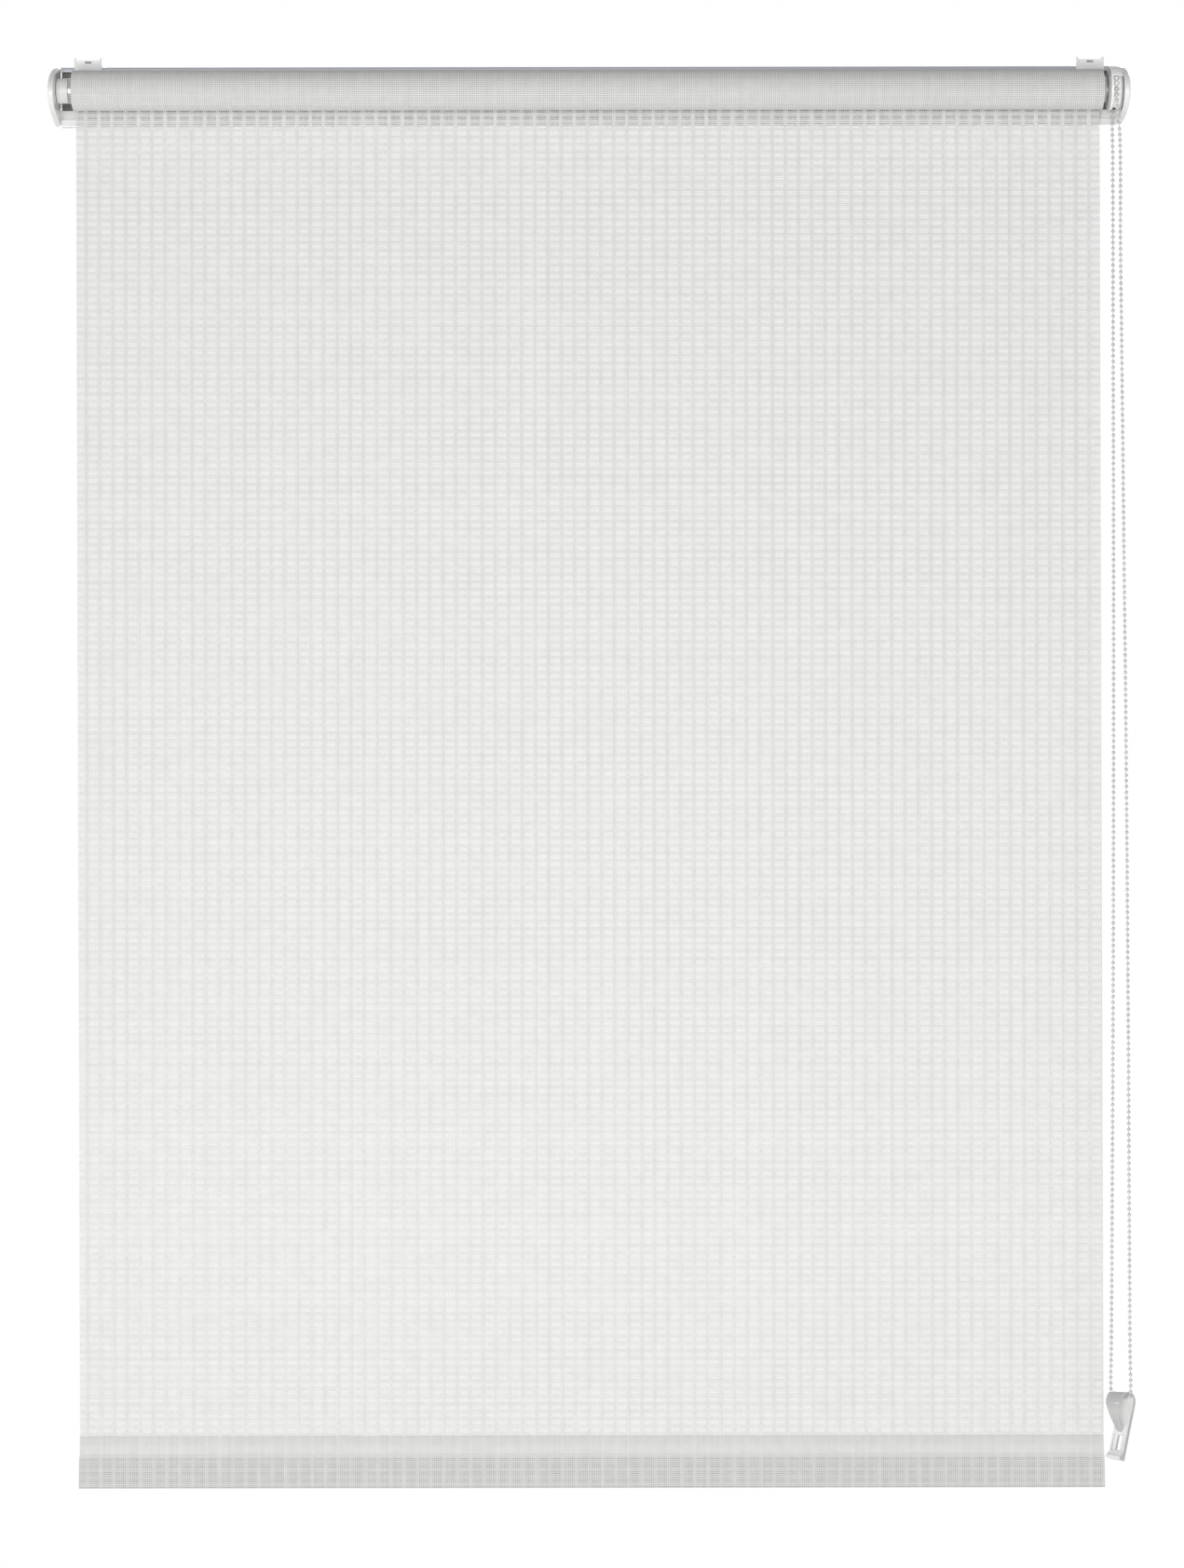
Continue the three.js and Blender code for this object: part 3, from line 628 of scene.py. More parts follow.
def through(points, steps):
    """A smooth centripetal curve through points, with steps to each stretch."""
    given = [Vector(p) for p in points]
    ends = [given[0] * 2 - given[1], *given, given[-1] * 2 - given[-2]]
    line = [given[0]]
    for a, b, c, d in zip(ends, ends[1:], ends[2:], ends[3:]):
        knots = [0.0]
        for p, q in ((a, b), (b, c), (c, d)):
            knots.append(knots[-1] + math.sqrt((q - p).length))
        t0, t1, t2, t3 = knots
        for i in range(1, steps + 1):
            t = t1 + (t2 - t1) * i / steps
            ab = a * ((t1 - t) / (t1 - t0)) + b * ((t - t0) / (t1 - t0))
            bc = b * ((t2 - t) / (t2 - t1)) + c * ((t - t1) / (t2 - t1))
            cd = c * ((t3 - t) / (t3 - t2)) + d * ((t - t2) / (t3 - t2))
            abc = ab * ((t2 - t) / (t2 - t0)) + bc * ((t - t0) / (t2 - t0))
            bcd = bc * ((t3 - t) / (t3 - t1)) + cd * ((t - t1) / (t3 - t1))
            line.append(abc * ((t2 - t) / (t2 - t1)) + bcd * ((t - t1) / (t2 - t1)))
    return line


class Line:
    """A polyline that can be asked for the point at a length along it."""

    def __init__(self, points):
        self.points = points
        self.lengths = [0.0]
        for a, b in zip(points, points[1:]):
            self.lengths.append(self.lengths[-1] + (b - a).length)
        self.length = self.lengths[-1]
        self.at = 0

    def point(self, length):
        """Lengths are asked for in rising order."""
        while self.at < len(self.points) - 2 and self.lengths[self.at + 1] < length:
            self.at += 1
        start, end = self.lengths[self.at], self.lengths[self.at + 1]
        share = (length - start) / (end - start)
        return self.points[self.at].lerp(self.points[self.at + 1], share)


def beaded(name, points, material):
    """Beads at an even pitch on a string, as one closed skin along the points."""
    line = Line(points)
    count = round(line.length / BEAD_PITCH)
    pitch = line.length / count
    rings = [(line.point(0.0), STRING / 2)]
    bead = BEAD * BEAD_SEEN
    neck = math.asin(STRING / bead)
    for k in range(count):
        centre = (k + 0.5) * pitch
        for i in range(BEAD_RINGS + 1):
            angle = neck + (math.pi - 2 * neck) * i / BEAD_RINGS
            at = centre - bead / 2 * math.cos(angle)
            rings.append((line.point(at), bead / 2 * math.sin(angle)))
    rings.append((line.point(line.length), STRING / 2))
    return swept(name, rings, BEAD_SIDES, material), line.length


def hanging_chain():
    route = [(bead_x + x, axis_y + y, axis_z + z) for x, y, z in CHAIN_ROUTE]
    points = through(route, 12)
    chain, length = beaded("bead_chain", points, BEADS)
    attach(chain, "root")
    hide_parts("bead_chain_front", "bead_chain_turn", "bead_chain_rear")
    return chain, length, points


def wheel_chain():
    steps = 60
    angles = [math.pi - math.pi * i / steps for i in range(steps + 1)]
    points = [
        Vector((bead_x, axis_y + pitch_radius * math.cos(a), axis_z + pitch_radius * math.sin(a)))
        for a in angles
    ]
    chain, _ = beaded("bead_chain_on_wheel", points, BEADS_PAINTED_LIGHT)
    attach(chain, "root")
    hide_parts("bead_chain_wrap")


# Tensioner: a teardrop sleeve with a slotted tongue, turned about the vertical and leaned

SLEEVE_RADIUS = 8.4 * MM
SLEEVE_WALL = 1.4 * MM
SLEEVE_LENGTH = 14 * MM
SLEEVE_TURN = math.radians(52)
SLEEVE_LEAN = math.radians(16)
# the hollow's outline in (outward, up): top, widest front, foot and back
HOLLOW = [
    ((-0.5, 7.0), (4.6, 6.6), (6.9, 1.0), (6.7, -4.2)),
    ((6.7, -4.2), (6.3, -8.6), (0.2, -14.6), (-4.2, -18.0)),
    ((-4.2, -18.0), (-5.2, -15.0), (-5.9, -8.0), (-5.9, -1.0)),
    ((-5.9, -1.0), (-5.9, 4.2), (-3.6, 7.0), (-0.5, 7.0)),
]
TONGUE_LENGTH = 42 * MM
TONGUE = 3 * MM
TONGUE_TOP = 21.4 * MM
TAPER_TOP = 3 * MM  # where the front leg starts to narrow
TAPER = math.radians(16)
TONGUE_LIP = 2.8 * MM
BORDER = 1.5 * MM  # left on each side of the tongue's sunk panel
RECESS = (-35.6 * MM, -23.4 * MM)  # the panel's ends, along the tongue
RECESS_DEPTH = 0.9 * MM
SCREW_SLOT = (-34.5 * MM, -23.9 * MM)
SCREW_SLOT_WIDTH = 4.6 * MM
CEILING = 3.7 * MM  # of the hollow's top above the chain's lowest point
EDGE_ANGLE = 0.25  # radians below level, where the round top gives way to the front leg
# faces that look outward by more than this get a painted highlight, on the tongue and the hollow's
# back wall
LIT_FACING = 0.3
LIT_UP = (-18.2 * MM, 5 * MM)
LIT_OUT = (-6.2 * MM, -3.7 * MM)


def tapers(front, half):
    """The wedges that narrow the front leg on both sides."""
    wedges = []
    for side in (-1, 1):
        outline = rectangle(front, SLEEVE_RADIUS + 2 * MM, -TONGUE_TOP, 0)
        wedge = prism("wedge", outline, 0, side * 2 * half, TENSIONER)
        tilt = Matrix.Rotation(side * TAPER, 4, "Z")
        for vertex in wedge.data.vertices:
            run, out, up = vertex.co
            tilted = tilt @ Vector((up, run, 0))
            vertex.co = (tilted.y + side * half, out, tilted.x - TAPER_TOP)
        outward(wedge)
        wedges.append(wedge)
    return wedges


def tensioner(low_bead):
    """Drawn in (outward, up) about the sleeve's centre, and run across."""
    back = -SLEEVE_RADIUS
    front = back + TONGUE
    lip = front + TONGUE_LIP
    inner = SLEEVE_RADIUS - SLEEVE_WALL
    half = SLEEVE_LENGTH / 2
    foot = [
        (back, -TONGUE_LENGTH),
        (lip, -TONGUE_LENGTH + 0.8 * MM),
        (lip, -TONGUE_LENGTH + 2.4 * MM),
        (front + 1.0 * MM, -TONGUE_LENGTH + 4 * MM),
        (front, RECESS[0]),
        (front, -TONGUE_TOP),
        (front + 2 * MM, -TONGUE_TOP + 0.8 * MM),
    ]
    outline = [Vector(p) for p in foot]
    outline += bezier(
        (-0.4 * MM, -17 * MM),
        (3 * MM, -12.4 * MM),
        (7.1 * MM, -6.6 * MM),
        (SLEEVE_RADIUS * math.cos(EDGE_ANGLE), -SLEEVE_RADIUS * math.sin(EDGE_ANGLE)),
        16,
    )
    outline += [Vector(p) for p in arc(SLEEVE_RADIUS, -EDGE_ANGLE, math.pi, 56)[1:]]
    body = prism("chain_tensioner_body", outline, -half, half, TENSIONER)
    room = []
    for stretch in HOLLOW:
        room += bezier(*[(out * MM, up * MM) for out, up in stretch], 14)[:-1]
    hollow = prism("hollow", room, -half - MM, half + MM, TENSIONER)
    slot = prism(
        "slot",
        rectangle(back - MM, front + MM, *SCREW_SLOT),
        -SCREW_SLOT_WIDTH / 2,
        SCREW_SLOT_WIDTH / 2,
        TENSIONER,
    )
    panel = prism(
        "panel",
        rectangle(front - RECESS_DEPTH, front + 2 * MM, *RECESS),
        -half + BORDER,
        half - BORDER,
        TENSIONER,
    )
    cut(body, hollow, slot, panel, *tapers(front, half))
    softened(body, 0.35 * MM, 3, 40)
    # Painted highlight: outward faces on the tongue and the hollow's back wall take a pale copy of
    # the plastic.
    body.data.materials.append(TENSIONER_LIT)
    for polygon in body.data.polygons:
        _, out, up = polygon.center
        facing = polygon.normal.y > LIT_FACING
        on_tongue = up < -TONGUE_TOP
        on_back_wall = LIT_UP[0] < up < LIT_UP[1] and LIT_OUT[0] < out < LIT_OUT[1]
        if facing and (on_tongue or on_back_wall):
            polygon.material_index = 1
    outward_way = Vector((-math.sin(SLEEVE_TURN), -math.cos(SLEEVE_TURN), 0))
    across = Vector((-math.cos(SLEEVE_TURN), math.sin(SLEEVE_TURN), 0))
    cosine, sine = math.cos(SLEEVE_LEAN), math.sin(SLEEVE_LEAN)
    centre = low_bead + Vector((0, 0, CEILING - inner))
    for vertex in body.data.vertices:
        run, out, up = vertex.co
        leaned_out, leaned_up = out * cosine - up * sine, out * sine + up * cosine
        vertex.co = centre + outward_way * leaned_out + Vector((0, 0, leaned_up)) + across * run
    outward(body)
    shade(body, 40)
    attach(body, "tensioner")
    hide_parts("chain_tensioner")
    return body


chain, chain_length, chain_points = hanging_chain()
wheel_chain()
sleeve = tensioner(min(chain_points, key=lambda p: abs(p.y - axis_y) + (p.z > axis_z - 0.9)))


# Cloth: the hanging panel, the wound roll and the hem

DRIFT = 1.6 * MM  # how far the cloth tracks to the right on its way down
CAP_PROUD = 0.5 * MM  # of each cap beyond the hem
# soft waves of the cloth: millimetres out of flat, radians per metre across and up, start
WAVES = ((0.35, 23, 0, 1.1), (0.2, 61, 4, 0), (0.25, 2, 9, 0))


def panel_place(x, z):
    """A point of the cloth's middle, a little out of flat and out of plumb."""
    down = (axis_z - z) / (axis_z - hem_low.z)
    ease = min(1.0, 6 * down) * min(1.0, 5 * (1 - down) + 0.15)  # flatter at both ends
    wave = sum(size * math.sin(a * x + b * z + start) for size, a, b, start in WAVES)
    return x + DRIFT * down, (panel_low.y + panel_high.y) / 2 + wave * ease * MM


def hanging_cloth():
    columns, rows = 150, 190
    top, bottom = axis_z, hem_high.z - 0.4 * MM
    points, faces = [], []
    for side in (-1, 1):
        for j in range(rows + 1):
            z = top + (bottom - top) * j / rows
            for i in range(columns + 1):
                x0 = roll_low.x + (roll_high.x - roll_low.x) * i / columns
                x, y = panel_place(x0, z)
                points.append((x, y + side * CLOTH / 2, z))
    wide = columns + 1
    back = wide * (rows + 1)
    for j in range(rows):
        for i in range(columns):
            a = j * wide + i
            faces.append((a, a + 1, a + wide + 1, a + wide))
            faces.append((back + a, back + a + wide, back + a + wide + 1, back + a + 1))
    edge = list(range(columns)) + [j * wide + columns for j in range(rows)]
    edge += [rows * wide + i for i in range(columns, 0, -1)]
    edge += [j * wide for j in range(rows, 0, -1)]
    for a, b in zip(edge, edge[1:] + edge[:1]):
        faces.append((a, b, back + b, back + a))
    cloth = piece("cloth_panel", points, faces, SCREEN)
    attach(cloth, "root")
    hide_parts("fabric_panel")
    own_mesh(cloth)


def wound_cloth():
    """The cloth on the tube, one strip in a spiral whose outer end meets the panel at the back."""
    inner = tube_radius + 0.35 * MM
    layers = round((roll_radius - inner) / CLOTH)
    pitch = (roll_radius - inner) / layers
    thick = 0.86 * pitch
    steps = 96
    count = layers * steps
    columns = 8
    strip = []
    length = 0.0
    for k in range(count + 1):
        angle = 2 * math.pi * k / steps
        radius = roll_radius - pitch * k / steps * 0.985
        strip.append((angle, radius, length))
        length += 2 * math.pi * radius / steps
    points, uvs, faces = [], [], []
    for i in range(columns + 1):
        x = roll_low.x + (roll_high.x - roll_low.x) * i / columns
        for face in (0, 1):
            for k, (angle, radius, along) in enumerate(strip):
                ragged = 0
                if i in (0, columns):
                    ragged = 0.25 * MM * math.sin(11 * angle) * math.sin(2.3 * angle)
                r = radius - face * thick
                y, z = axis_y + r * math.cos(angle), axis_z + r * math.sin(angle)
                points.append((x + ragged, y, z))
                uvs.append((x, along))
    row = count + 1
    for i in range(columns):
        a, b = i * 2 * row, (i + 1) * 2 * row
        for k in range(count):
            faces.append((a + k, a + k + 1, b + k + 1, b + k))
            faces.append((a + row + k, b + row + k, b + row + k + 1, a + row + k + 1))
        faces.append((a, b, b + row, a + row))
        faces.append((a + count, a + row + count, b + row + count, b + count))
    for i in (0, columns):
        a = i * 2 * row
        for k in range(count):
            faces.append((a + k, a + row + k, a + row + k + 1, a + k + 1))
    cloth = piece("wound_cloth", points, faces, WOUND, uvs=uvs)
    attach(cloth, "roller")
    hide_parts("wound_fabric")


def hem():
    """Cloth folded round the bar and joined back to itself above it."""
    top, bottom = hem_high.z, hem_low.z
    pocket_top, pocket_bottom = bar_high.z + 0.3 * MM, bar_low.z - 0.3 * MM
    pocket = (bar_high.y - bar_low.y) / 2 + 0.3 * MM
    seam = pocket_top + 3.6 * MM
    skin = pocket + CLOTH
    flat = CLOTH + 0.1 * MM
    front = [
        (-flat * 0.55, top),
        (-flat, top - 0.5 * MM),
        (-flat - 0.1 * MM, seam + 4 * MM),
        (-flat, seam + 1.2 * MM),
        (-flat + 0.18 * MM, seam + 0.6 * MM),
        (-flat, seam),
        (-0.72 * skin, pocket_top + 1.2 * MM),
        (-0.97 * skin, pocket_top - 1.5 * MM),
        (-skin, pocket_top - 6 * MM),
        (-skin, pocket_bottom + 2 * MM),
        (-0.93 * skin, bottom + 0.9 * MM),
        (-0.6 * skin, bottom + 0.2 * MM),
        (0, bottom),
    ]
    outer = front + [(-y, z) for y, z in front[-2::-1]]
    inner = [
        (0, pocket_top + 2.6 * MM),
        (-0.35 * pocket, pocket_top + 1.4 * MM),
        (-0.9 * pocket, pocket_top - 0.4 * MM),
        (-pocket, pocket_top - 4 * MM),
        (-pocket, pocket_bottom + 2 * MM),
        (-0.9 * pocket, pocket_bottom + 0.5 * MM),
        (-0.5 * pocket, pocket_bottom),
        (0, pocket_bottom - 0.02 * MM),
    ]
    inner += [(-y, z) for y, z in inner[-2:0:-1]]
    columns = 150
    n, m = len(outer), len(inner)
    along = [0.0]
    for a, b in zip(outer, outer[1:]):
        along.append(along[-1] + math.dist(a, b))
    points, uvs, faces = [], [], []
    for i in range(columns + 1):
        x0 = hem_low.x + (hem_high.x - hem_low.x) * i / columns
        for k, (y, z) in enumerate(outer):
            x, centre = panel_place(x0 * flare(z), z)
            points.append((x, centre + y, z))
            uvs.append((x, -along[k]))
        for y, z in inner:
            x, centre = panel_place(x0 * flare(z), z)
            points.append((x, centre + y, z))
            uvs.append((x, z))
    row = n + m
    for i in range(columns):
        a, b = i * row, (i + 1) * row
        for k in range(n):
            j = (k + 1) % n
            faces.append((a + k, b + k, b + j, a + j))
        for k in range(m):
            j = (k + 1) % m
            faces.append((a + n + k, a + n + j, b + n + j, b + n + k))
    cloth = piece("hem_cloth", points, faces, DOUBLED, uvs=uvs)
    close_ends(cloth, n, m, columns, row)
    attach(cloth, "hem_bar")
    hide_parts("hem_sleeve")


def flare(z):
    """The bar's ends push the hem a little wider towards its foot."""
    down = (hem_high.z - z) / (hem_high.z - hem_low.z)
    return 1 + 0.0022 * min(1.0, max(0.0, (down - 0.15) / 0.7))


def close_ends(cloth, n, m, columns, row):
    """Fills each end between the outer skin and the pocket."""
    with editing(cloth) as work:
        work.verts.ensure_lookup_table()
        for i in (0, columns):
            start = i * row
            edges = []
            for first, count in ((start, n), (start + n, m)):
                for k in range(count):
                    a, b = work.verts[first + k], work.verts[first + (k + 1) % count]
                    edges.append(work.edges.get((a, b)) or work.edges.new((a, b)))
            bmesh.ops.triangle_fill(work, edges=edges, use_beauty=True)
        bmesh.ops.recalc_face_normals(work, faces=work.faces)
    shade(cloth, 32)


def weight_bar():
    """A flat bar with rounded edges in the hem, and a cap on each of its ends."""
    mid = (panel_low.y + panel_high.y) / 2
    low, high = bar_low, bar_high
    half = (high.y - low.y) / 2
    corners = rectangle(mid - half, mid + half, low.z, high.z)
    outline = rounded(corners, 0.9 * MM, 5)
    bar = prism("bottom_bar_metal", outline, low.x + DRIFT, high.x + DRIFT, BAR)
    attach(bar, "hem_bar")
    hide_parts("bottom_bar")
    for side, node in ((-1, "bar_cap_left"), (1, "bar_cap_right")):
        cap_low, cap_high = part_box(node)
        x0, x1 = cap_low.x + DRIFT, cap_high.x + DRIFT
        if side < 0:
            x0 -= CAP_PROUD
        else:
            x1 += CAP_PROUD
        cap = prism(node + "_plastic", rounded(corners, 1.0 * MM, 6), x0, x1, PLASTIC)
        softened(cap, 0.45 * MM, 3)
        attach(cap, "hem_bar")
        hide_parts(node)


wound_cloth()
hanging_cloth()
weight_bar()
hem()


# Rail, side plates and clamps

TOP_LIP = 3.5 * MM
BOTTOM_LIP = 5.5 * MM


def carrier_rail():
    """A C section, open to the front, with a longer lip and a small step along the bottom."""
    front, top, bottom = rail_low.y + 0.5 * MM, rail_high.z, rail_low.z
    wall = RAIL_WALL
    inside = front + wall
    corners = [
        (0, bottom),
        (0, top),
        (front, top),
        (front, top - TOP_LIP),
        (inside, top - TOP_LIP),
        (inside, top - wall),
        (-wall, top - wall),
        (-wall, bottom + wall),
        (inside, bottom + wall),
        (inside, bottom + BOTTOM_LIP),
        (front, bottom + BOTTOM_LIP),
        (front, bottom + wall),
        (rail_low.y, bottom + wall),
        (rail_low.y, bottom),
    ]
    rail = prism("carrier_rail", rounded(corners, 0.35 * MM, 4), rail_low.x, rail_high.x, RAIL)
    rail.data.materials.append(RAIL_INSIDE_SHADE)
    rail.data.materials.append(RAIL_LIP_SHADE)
    # Faces inside the channel take the painted shade, pale low down with painted bounce light.
    near = 0.2 * MM
    # The upper lip's front and top take a darker copy of the metal as painted shade.
    for polygon in rail.data.polygons:
        _, y, z = polygon.center
        if inside - near < y < -wall + near and bottom + wall - near < z < top - wall + near:
            polygon.material_index = 1
        elif y < inside - near and z > top - TOP_LIP - near:
            polygon.material_index = 2
    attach(rail, "root")
    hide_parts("rail")


TONGUE_REACH = 8 * MM  # of the CAD plate's tongue, inside the plate's own face
FOOT_LENGTH = 13 * MM
FOOT_HEIGHT = 10.6 * MM
NOSE_DROP = 3.5 * MM  # of the nose's tip below the roller's axis
PLATE_FRONT = -6 * MM  # where the plate's flat back part ends and its nose begins


def side_plate(side, node):
    """A thick cap with a rounded rim round its nose, and a foot low in the rail's end."""
    low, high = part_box(node)
    inner, outer = (high.x, low.x) if side < 0 else (low.x, high.x)
    inner += side * TONGUE_REACH
    nose, nose_z = low.y, axis_z - NOSE_DROP
    bottom, top = low.z, high.z
    front = PLATE_FRONT
    reach = front - nose
    outline = [(0, bottom), (0, top), (front + 2 * MM, top)]
    outline += bezier(
        (front, top),
        (front - 0.65 * reach, top - 5 * MM),
        (nose, nose_z + 9.5 * MM),
        (nose, nose_z),
        28,
    )
    outline += bezier(
        (nose, nose_z),
        (nose, nose_z - 10.5 * MM),
        (front - 0.5 * reach, bottom + 3 * MM),
        (front, bottom),
        28,
    )[1:]
    plate = prism(node + "_cap", outline, min(inner, outer), max(inner, outer), PLASTIC)
    softened(plate, 1.0 * MM, 5, 40)
    margin = RAIL_WALL + 0.3 * MM
    foot_bottom = rail_low.z + margin
    corners = rectangle(front + margin, -margin, foot_bottom, foot_bottom + FOOT_HEIGHT)
    tip = inner - side * FOOT_LENGTH
    outline = rounded(corners, 0.5 * MM)
    foot = prism(node + "_foot", outline, min(inner, tip), max(inner, tip), PLASTIC)
    for made in (plate, foot):
        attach(made, "root")
    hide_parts(node)


# Cuts in a clamp's front, measured down from its top: half width, depth, upper and lower edge
BAND = (7.9 * MM, 0.3 * MM, 2.3 * MM, 3.9 * MM)
DASH = (2.3 * MM, 1.1 * MM, 2.5 * MM, 3.5 * MM)
DOT = (0.35 * MM, 0.9 * MM, 3.4 * MM, 4.1 * MM)
DOT_OFF = 7.6 * MM  # of each dot from the middle


def front_cut(name, x, front, ear_top, sizes):
    half, depth, top, bottom = sizes
    low = (x - half, front - MM, ear_top - bottom)
    return block(name, low, (x + half, front + depth, ear_top - top))


def clamp_carrier(end):
    """The CAD shape with rounded edges and a shallow band across its front.

    A deeper notch in the middle has painted shade on its floor, and a dot marks each end.
    """
    name = "clamp_carrier_" + end
    node = "clamp_body_" + end
    body = node_copy(name, node, CLAMP)
    weld(body)
    low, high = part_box(node)
    middle_x, front, ear_top = (low.x + high.x) / 2, low.y, high.z
    cutters = [front_cut("notch", middle_x, front, ear_top, sizes) for sizes in (BAND, DASH)]
    for side in (-1, 1):
        cutters.append(front_cut("dot", middle_x + side * DOT_OFF, front, ear_top, DOT))
    cut(body, *cutters)
    softened(body, 0.22 * MM)
    # Faces on the notch's floor take the painted shade.
    body.data.materials.append(NOTCH_FLOOR_SHADE)
    near = 0.1 * MM
    for polygon in body.data.polygons:
        x, y, z = polygon.center
        in_height = ear_top - BAND[3] < z < ear_top - BAND[2] + near
        in_width = abs(x - middle_x) < DASH[0] + 2 * near
        if in_height and in_width and front + BAND[1] + 1.5 * near < y < front + DASH[1] + near:
            polygon.material_index = 1
    return body


def clamps():
    for end in ("left", "right"):
        body = clamp_carrier(end)
        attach(body, "clamp_" + end)
        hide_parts("clamp_body_" + end)
        grip = like_node("clamp_grip_" + end, "clamp_hook_" + end, CLAMP, 0.3 * MM)
        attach(grip, "hook_" + end)
        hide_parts("clamp_hook_" + end)


carrier_rail()
side_plate(-1, "side_plate_left")
side_plate(1, "side_plate_right")
clamps()


# Roller and its idle end


def metal_tube():
    inner = tube_radius - 0.9 * MM
    corners = rectangle(tube_low.x, tube_high.x, tube_radius, inner)
    tube = turned("roller_tube_metal", rounded(corners, 0.2 * MM, 3), TUBE, 128)
    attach(tube, "roller")
    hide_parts("roller_tube")


def idle_plug():
    """A flanged plug, with ribs on the part that grips inside the tube."""
    low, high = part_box("idle_plug")
    flange = (high.z - low.z) / 2
    bore = tube_radius - 1.2 * MM
    hole = 2.8 * MM
    corners = [
        (low.x, flange),
        (tube_low.x - 0.3 * MM, flange),
        (tube_low.x - 0.3 * MM, bore),
        (high.x, bore),
        (high.x, hole),
        (low.x, hole),
    ]
    ribs = 12
    grip_start = tube_low.x + 1.5 * MM

    def radius_at(x, r, angle):
        if x > grip_start and r > bore - MM:
            return r - 0.5 * MM * (0.5 - 0.5 * math.cos(ribs * angle))
        return r

    plug = turned("idle_plug_body", rounded(corners, 0.45 * MM), PLUG, 144, radius_at)
    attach(plug, "roller")
    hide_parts("idle_plug")


def coil(name, node, body, turns, radius, wire, material):
    low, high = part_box(node)
    steps = 28 * turns
    start, end = low.x + wire / 2, high.x - wire / 2
    rings = []
    for k in range(steps + 1):
        angle = 2 * math.pi * turns * k / steps
        centre = (
            start + (end - start) * k / steps,
            axis_y + radius * math.cos(angle),
            axis_z + radius * math.sin(angle),
        )
        rings.append((centre, wire / 2))
    spring = swept(name, rings, 10, material)
    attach(spring, body)
    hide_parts(node)


metal_tube()
idle_plug()
coil("idle_spring_coil", "idle_spring", "idle_pin", 7, 3.3 * MM, 0.8 * MM, STEEL)
coil("wrap_spring_inner_coil", "wrap_spring_inner", "root", 6, 4.7 * MM, 0.8 * MM, STEEL)
coil("wrap_spring_outer_coil", "wrap_spring_outer", "root", 6, 4.7 * MM, 0.8 * MM, STEEL)


def idle_pin():
    pin = like_node("idle_pin_turned", "idle_pin", STEEL, 0.15 * MM)
    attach(pin, "idle_pin")
    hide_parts("idle_pin")


idle_pin()


# Drive end

POCKETS = 20
AXLE_HOLE = 4.4 * MM
COLLAR_HOLE = 11.4 * MM


def chain_wheel():
    """Two flanges with a row of bead pockets between them."""
    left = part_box("drive_plug")[1].x + 0.4 * MM
    right = wheel_high.x
    groove = BEAD / 2 + 0.4 * MM
    rim = wheel_radius
    web = pitch_radius + 0.1 * MM
    ball = BEAD / 2 + 0.28 * MM
    rows = 12
    profile = [(left, rim - 0.9 * MM), (left + 0.3 * MM, rim - 0.25 * MM), (left + 0.9 * MM, rim)]
    profile += [(bead_x - groove - 0.3 * MM, rim), (bead_x - groove, rim - 0.35 * MM)]
    profile += [(bead_x - groove + 2 * groove * i / rows, web) for i in range(rows + 1)]
    profile += [(bead_x + groove, rim - 0.35 * MM), (bead_x + groove + 0.3 * MM, rim)]
    profile += [(right - 0.9 * MM, rim), (right - 0.3 * MM, rim - 0.25 * MM)]
    profile += [(right, rim - 0.9 * MM), (right, AXLE_HOLE), (left, AXLE_HOLE)]

    def radius_at(x, r, angle):
        if r != web:
            return r
        turn = 2 * math.pi / POCKETS
        off = (angle / turn) % 1 - 0.5
        away = math.hypot(x - bead_x, off * turn * pitch_radius)
        string = abs(x - bead_x) < 0.6 * MM
        floor = pitch_radius - 0.6 * MM if string else web
        if away < ball:
            return min(floor, pitch_radius - math.sqrt(ball * ball - away * away))
        return floor

    wheel = turned("chain_wheel_body", profile, WHEEL, POCKETS * 14, radius_at)
    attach(wheel, "chain_wheel")
    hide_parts("chain_wheel")


def painted_shadow_ring():
    """A white collar, and a thin dark ring of painted shadow for the gap between the wheel and the
    right plate.
    """
    start = wheel_high.x + 0.2 * MM
    for name, left, right, outer, material, slot in (
        ("brake_collar", start, start + 0.5 * MM, wheel_radius + 0.5 * MM, PLASTIC, "white_plastic"),
        ("painted_shadow_ring", start + 0.55 * MM, start + 0.9 * MM, wheel_radius, SHADOW_RING_SHADE, "hub_plastic"),
    ):
        corners = rectangle(left, right, outer, COLLAR_HOLE)
        ring = turned(name, rounded(corners, 0.12 * MM, 3), material, 128)
        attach(ring, "root")


def drive_pieces():
    for name, node, body, material, slot, width in (
        ("drive_plug_body", "drive_plug", "roller", GREY, "grey_plastic", 0.3 * MM),
        ("drive_hub_core", "drive_hub", "root", HUB, "hub_plastic", 0.25 * MM),
        ("hub_cap_snap", "hub_cap", "root", GREY, "grey_plastic", 0.3 * MM),
        ("chain_guard_shroud", "chain_guard", "root", PLASTIC, "white_plastic", 0.35 * MM),
    ):
        made = like_node(name, node, material, width)
        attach(made, body)
        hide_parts(node)


chain_wheel()
painted_shadow_ring()
drive_pieces()


# Stage and light

FLOOR_DROP = 0.3
FLOOR_X = (-2.2, 2.2)
FLOOR_Y = (-1.5, 1.1)
WORLD_LIGHT = 0.3
WORLD_IN_SHINE = 0.6  # how much of the white that the camera sees shows in reflections
WHITE = (1.0, 1.0, 1.0)
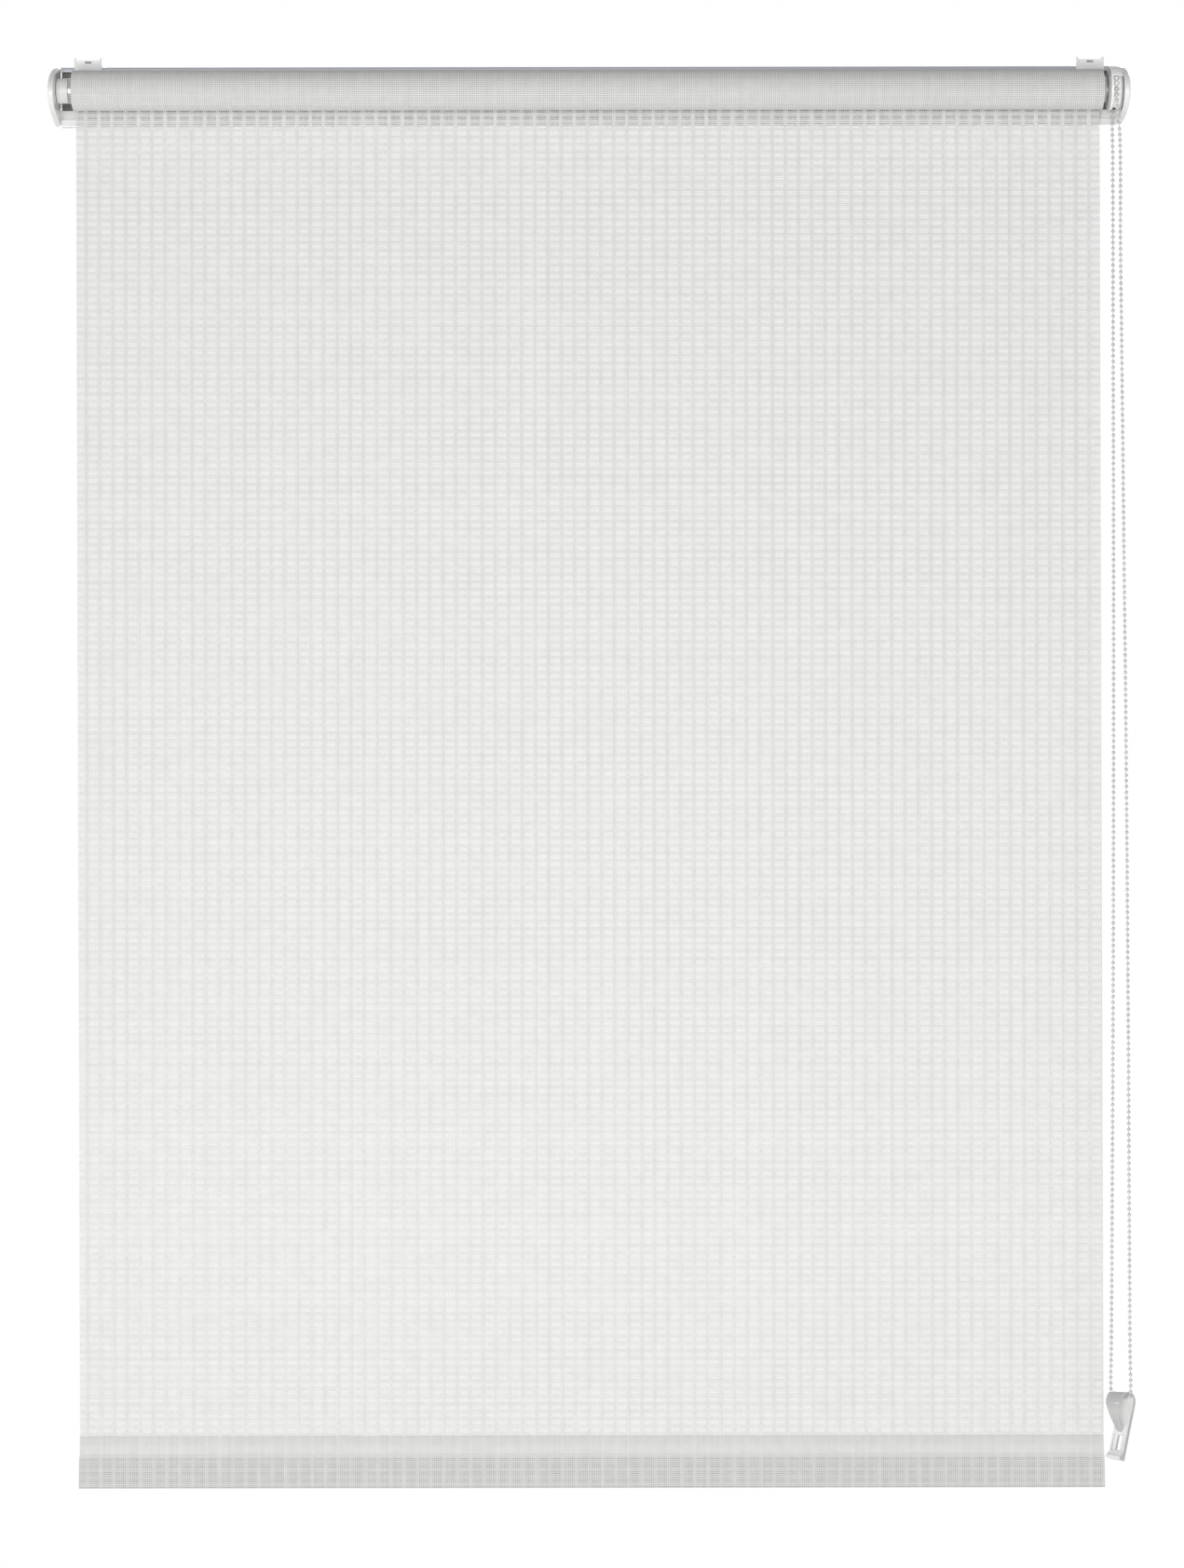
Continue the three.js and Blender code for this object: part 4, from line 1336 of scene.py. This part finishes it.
# name, place, what it points at, size in metres, watts, colour
LIGHTS = (
    ("front", (-0.4, -3.4, -0.8), (0, 0, -0.5), 2.2, 74.0, (1.0, 0.997, 0.988)),
    ("right", (2.6, -1.7, -0.3), (0.2, 0, -0.2), 1.0, 6.0, WHITE),
    ("left", (-2.6, -1.7, -0.3), (-0.2, 0, -0.2), 1.0, 6.5, WHITE),
    ("low left a", (-2.4, -0.2, -1.15), (0.39, 0, -1.0), 0.14, 1.6, WHITE),
    ("low left b", (-2.4, 0.12, -1.15), (0.39, 0, -1.0), 0.14, 1.6, WHITE),
    ("behind", (0.5, 3.2, 0.1), (0, 0, -0.5), 2.4, 60.0, WHITE),
)


def make_stage():
    """A pale floor well below the blind. The white all round it comes from the world."""
    s = Shader("floor")
    speck = s.noise(s.place(), 60.0, 4.0)
    s.set(Base_Color=s.mix(speck, grey(0.86), grey(0.9)), Roughness=0.9, Specular_IOR_Level=0.1)
    s.set(Emission_Color=grey(1.0), Emission_Strength=0.3)
    low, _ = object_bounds()
    corners = [(x, y, low.z - FLOOR_DROP) for x, y in rectangle(*FLOOR_X, *FLOOR_Y)]
    floor = piece("floor", corners, [(0, 1, 2, 3)], s.material)


def area_light(name, place, target, size, power, colour):
    data = bpy.data.lights.new(name, "AREA")
    data.size = size
    data.energy = power
    data.color = colour
    light = bpy.data.objects.new(name, data)
    bpy.context.scene.collection.objects.link(light)
    light.location = place
    light.visible_camera = False
    light.rotation_euler = (Vector(target) - Vector(place)).to_track_quat("-Z", "Y").to_euler()


def make_light():
    """A world that is white to the camera and dimmer as a light, and the six lights."""
    world = bpy.data.worlds.new("studio")
    bpy.context.scene.world = world
    world.use_nodes = True
    w = Nodes(world.node_tree)
    w.tree.nodes.clear()
    seen = w.node("ShaderNodeBackground", Color=grey(1.0), Strength=1.0)
    lit = w.node("ShaderNodeBackground", Color=grey(0.97, 0.985, 1.0), Strength=WORLD_LIGHT)
    ray = w.tree.nodes.new("ShaderNodeLightPath").outputs
    mirrored = w.times(ray["Is Glossy Ray"], WORLD_IN_SHINE)
    share = w.math("MAXIMUM", mirrored, ray["Is Camera Ray"])
    pick = w.tree.nodes.new("ShaderNodeMixShader")
    for socket, value in zip(pick.inputs, (share, lit, seen)):
        w.plug(socket, value)
    out = w.tree.nodes.new("ShaderNodeOutputWorld")
    w.plug(out.inputs["Surface"], pick.outputs[0])
    for light in LIGHTS:
        area_light(*light)
    view = bpy.context.scene.view_settings
    view.view_transform = "Standard"
    view.look = "None"


make_stage()
make_light()
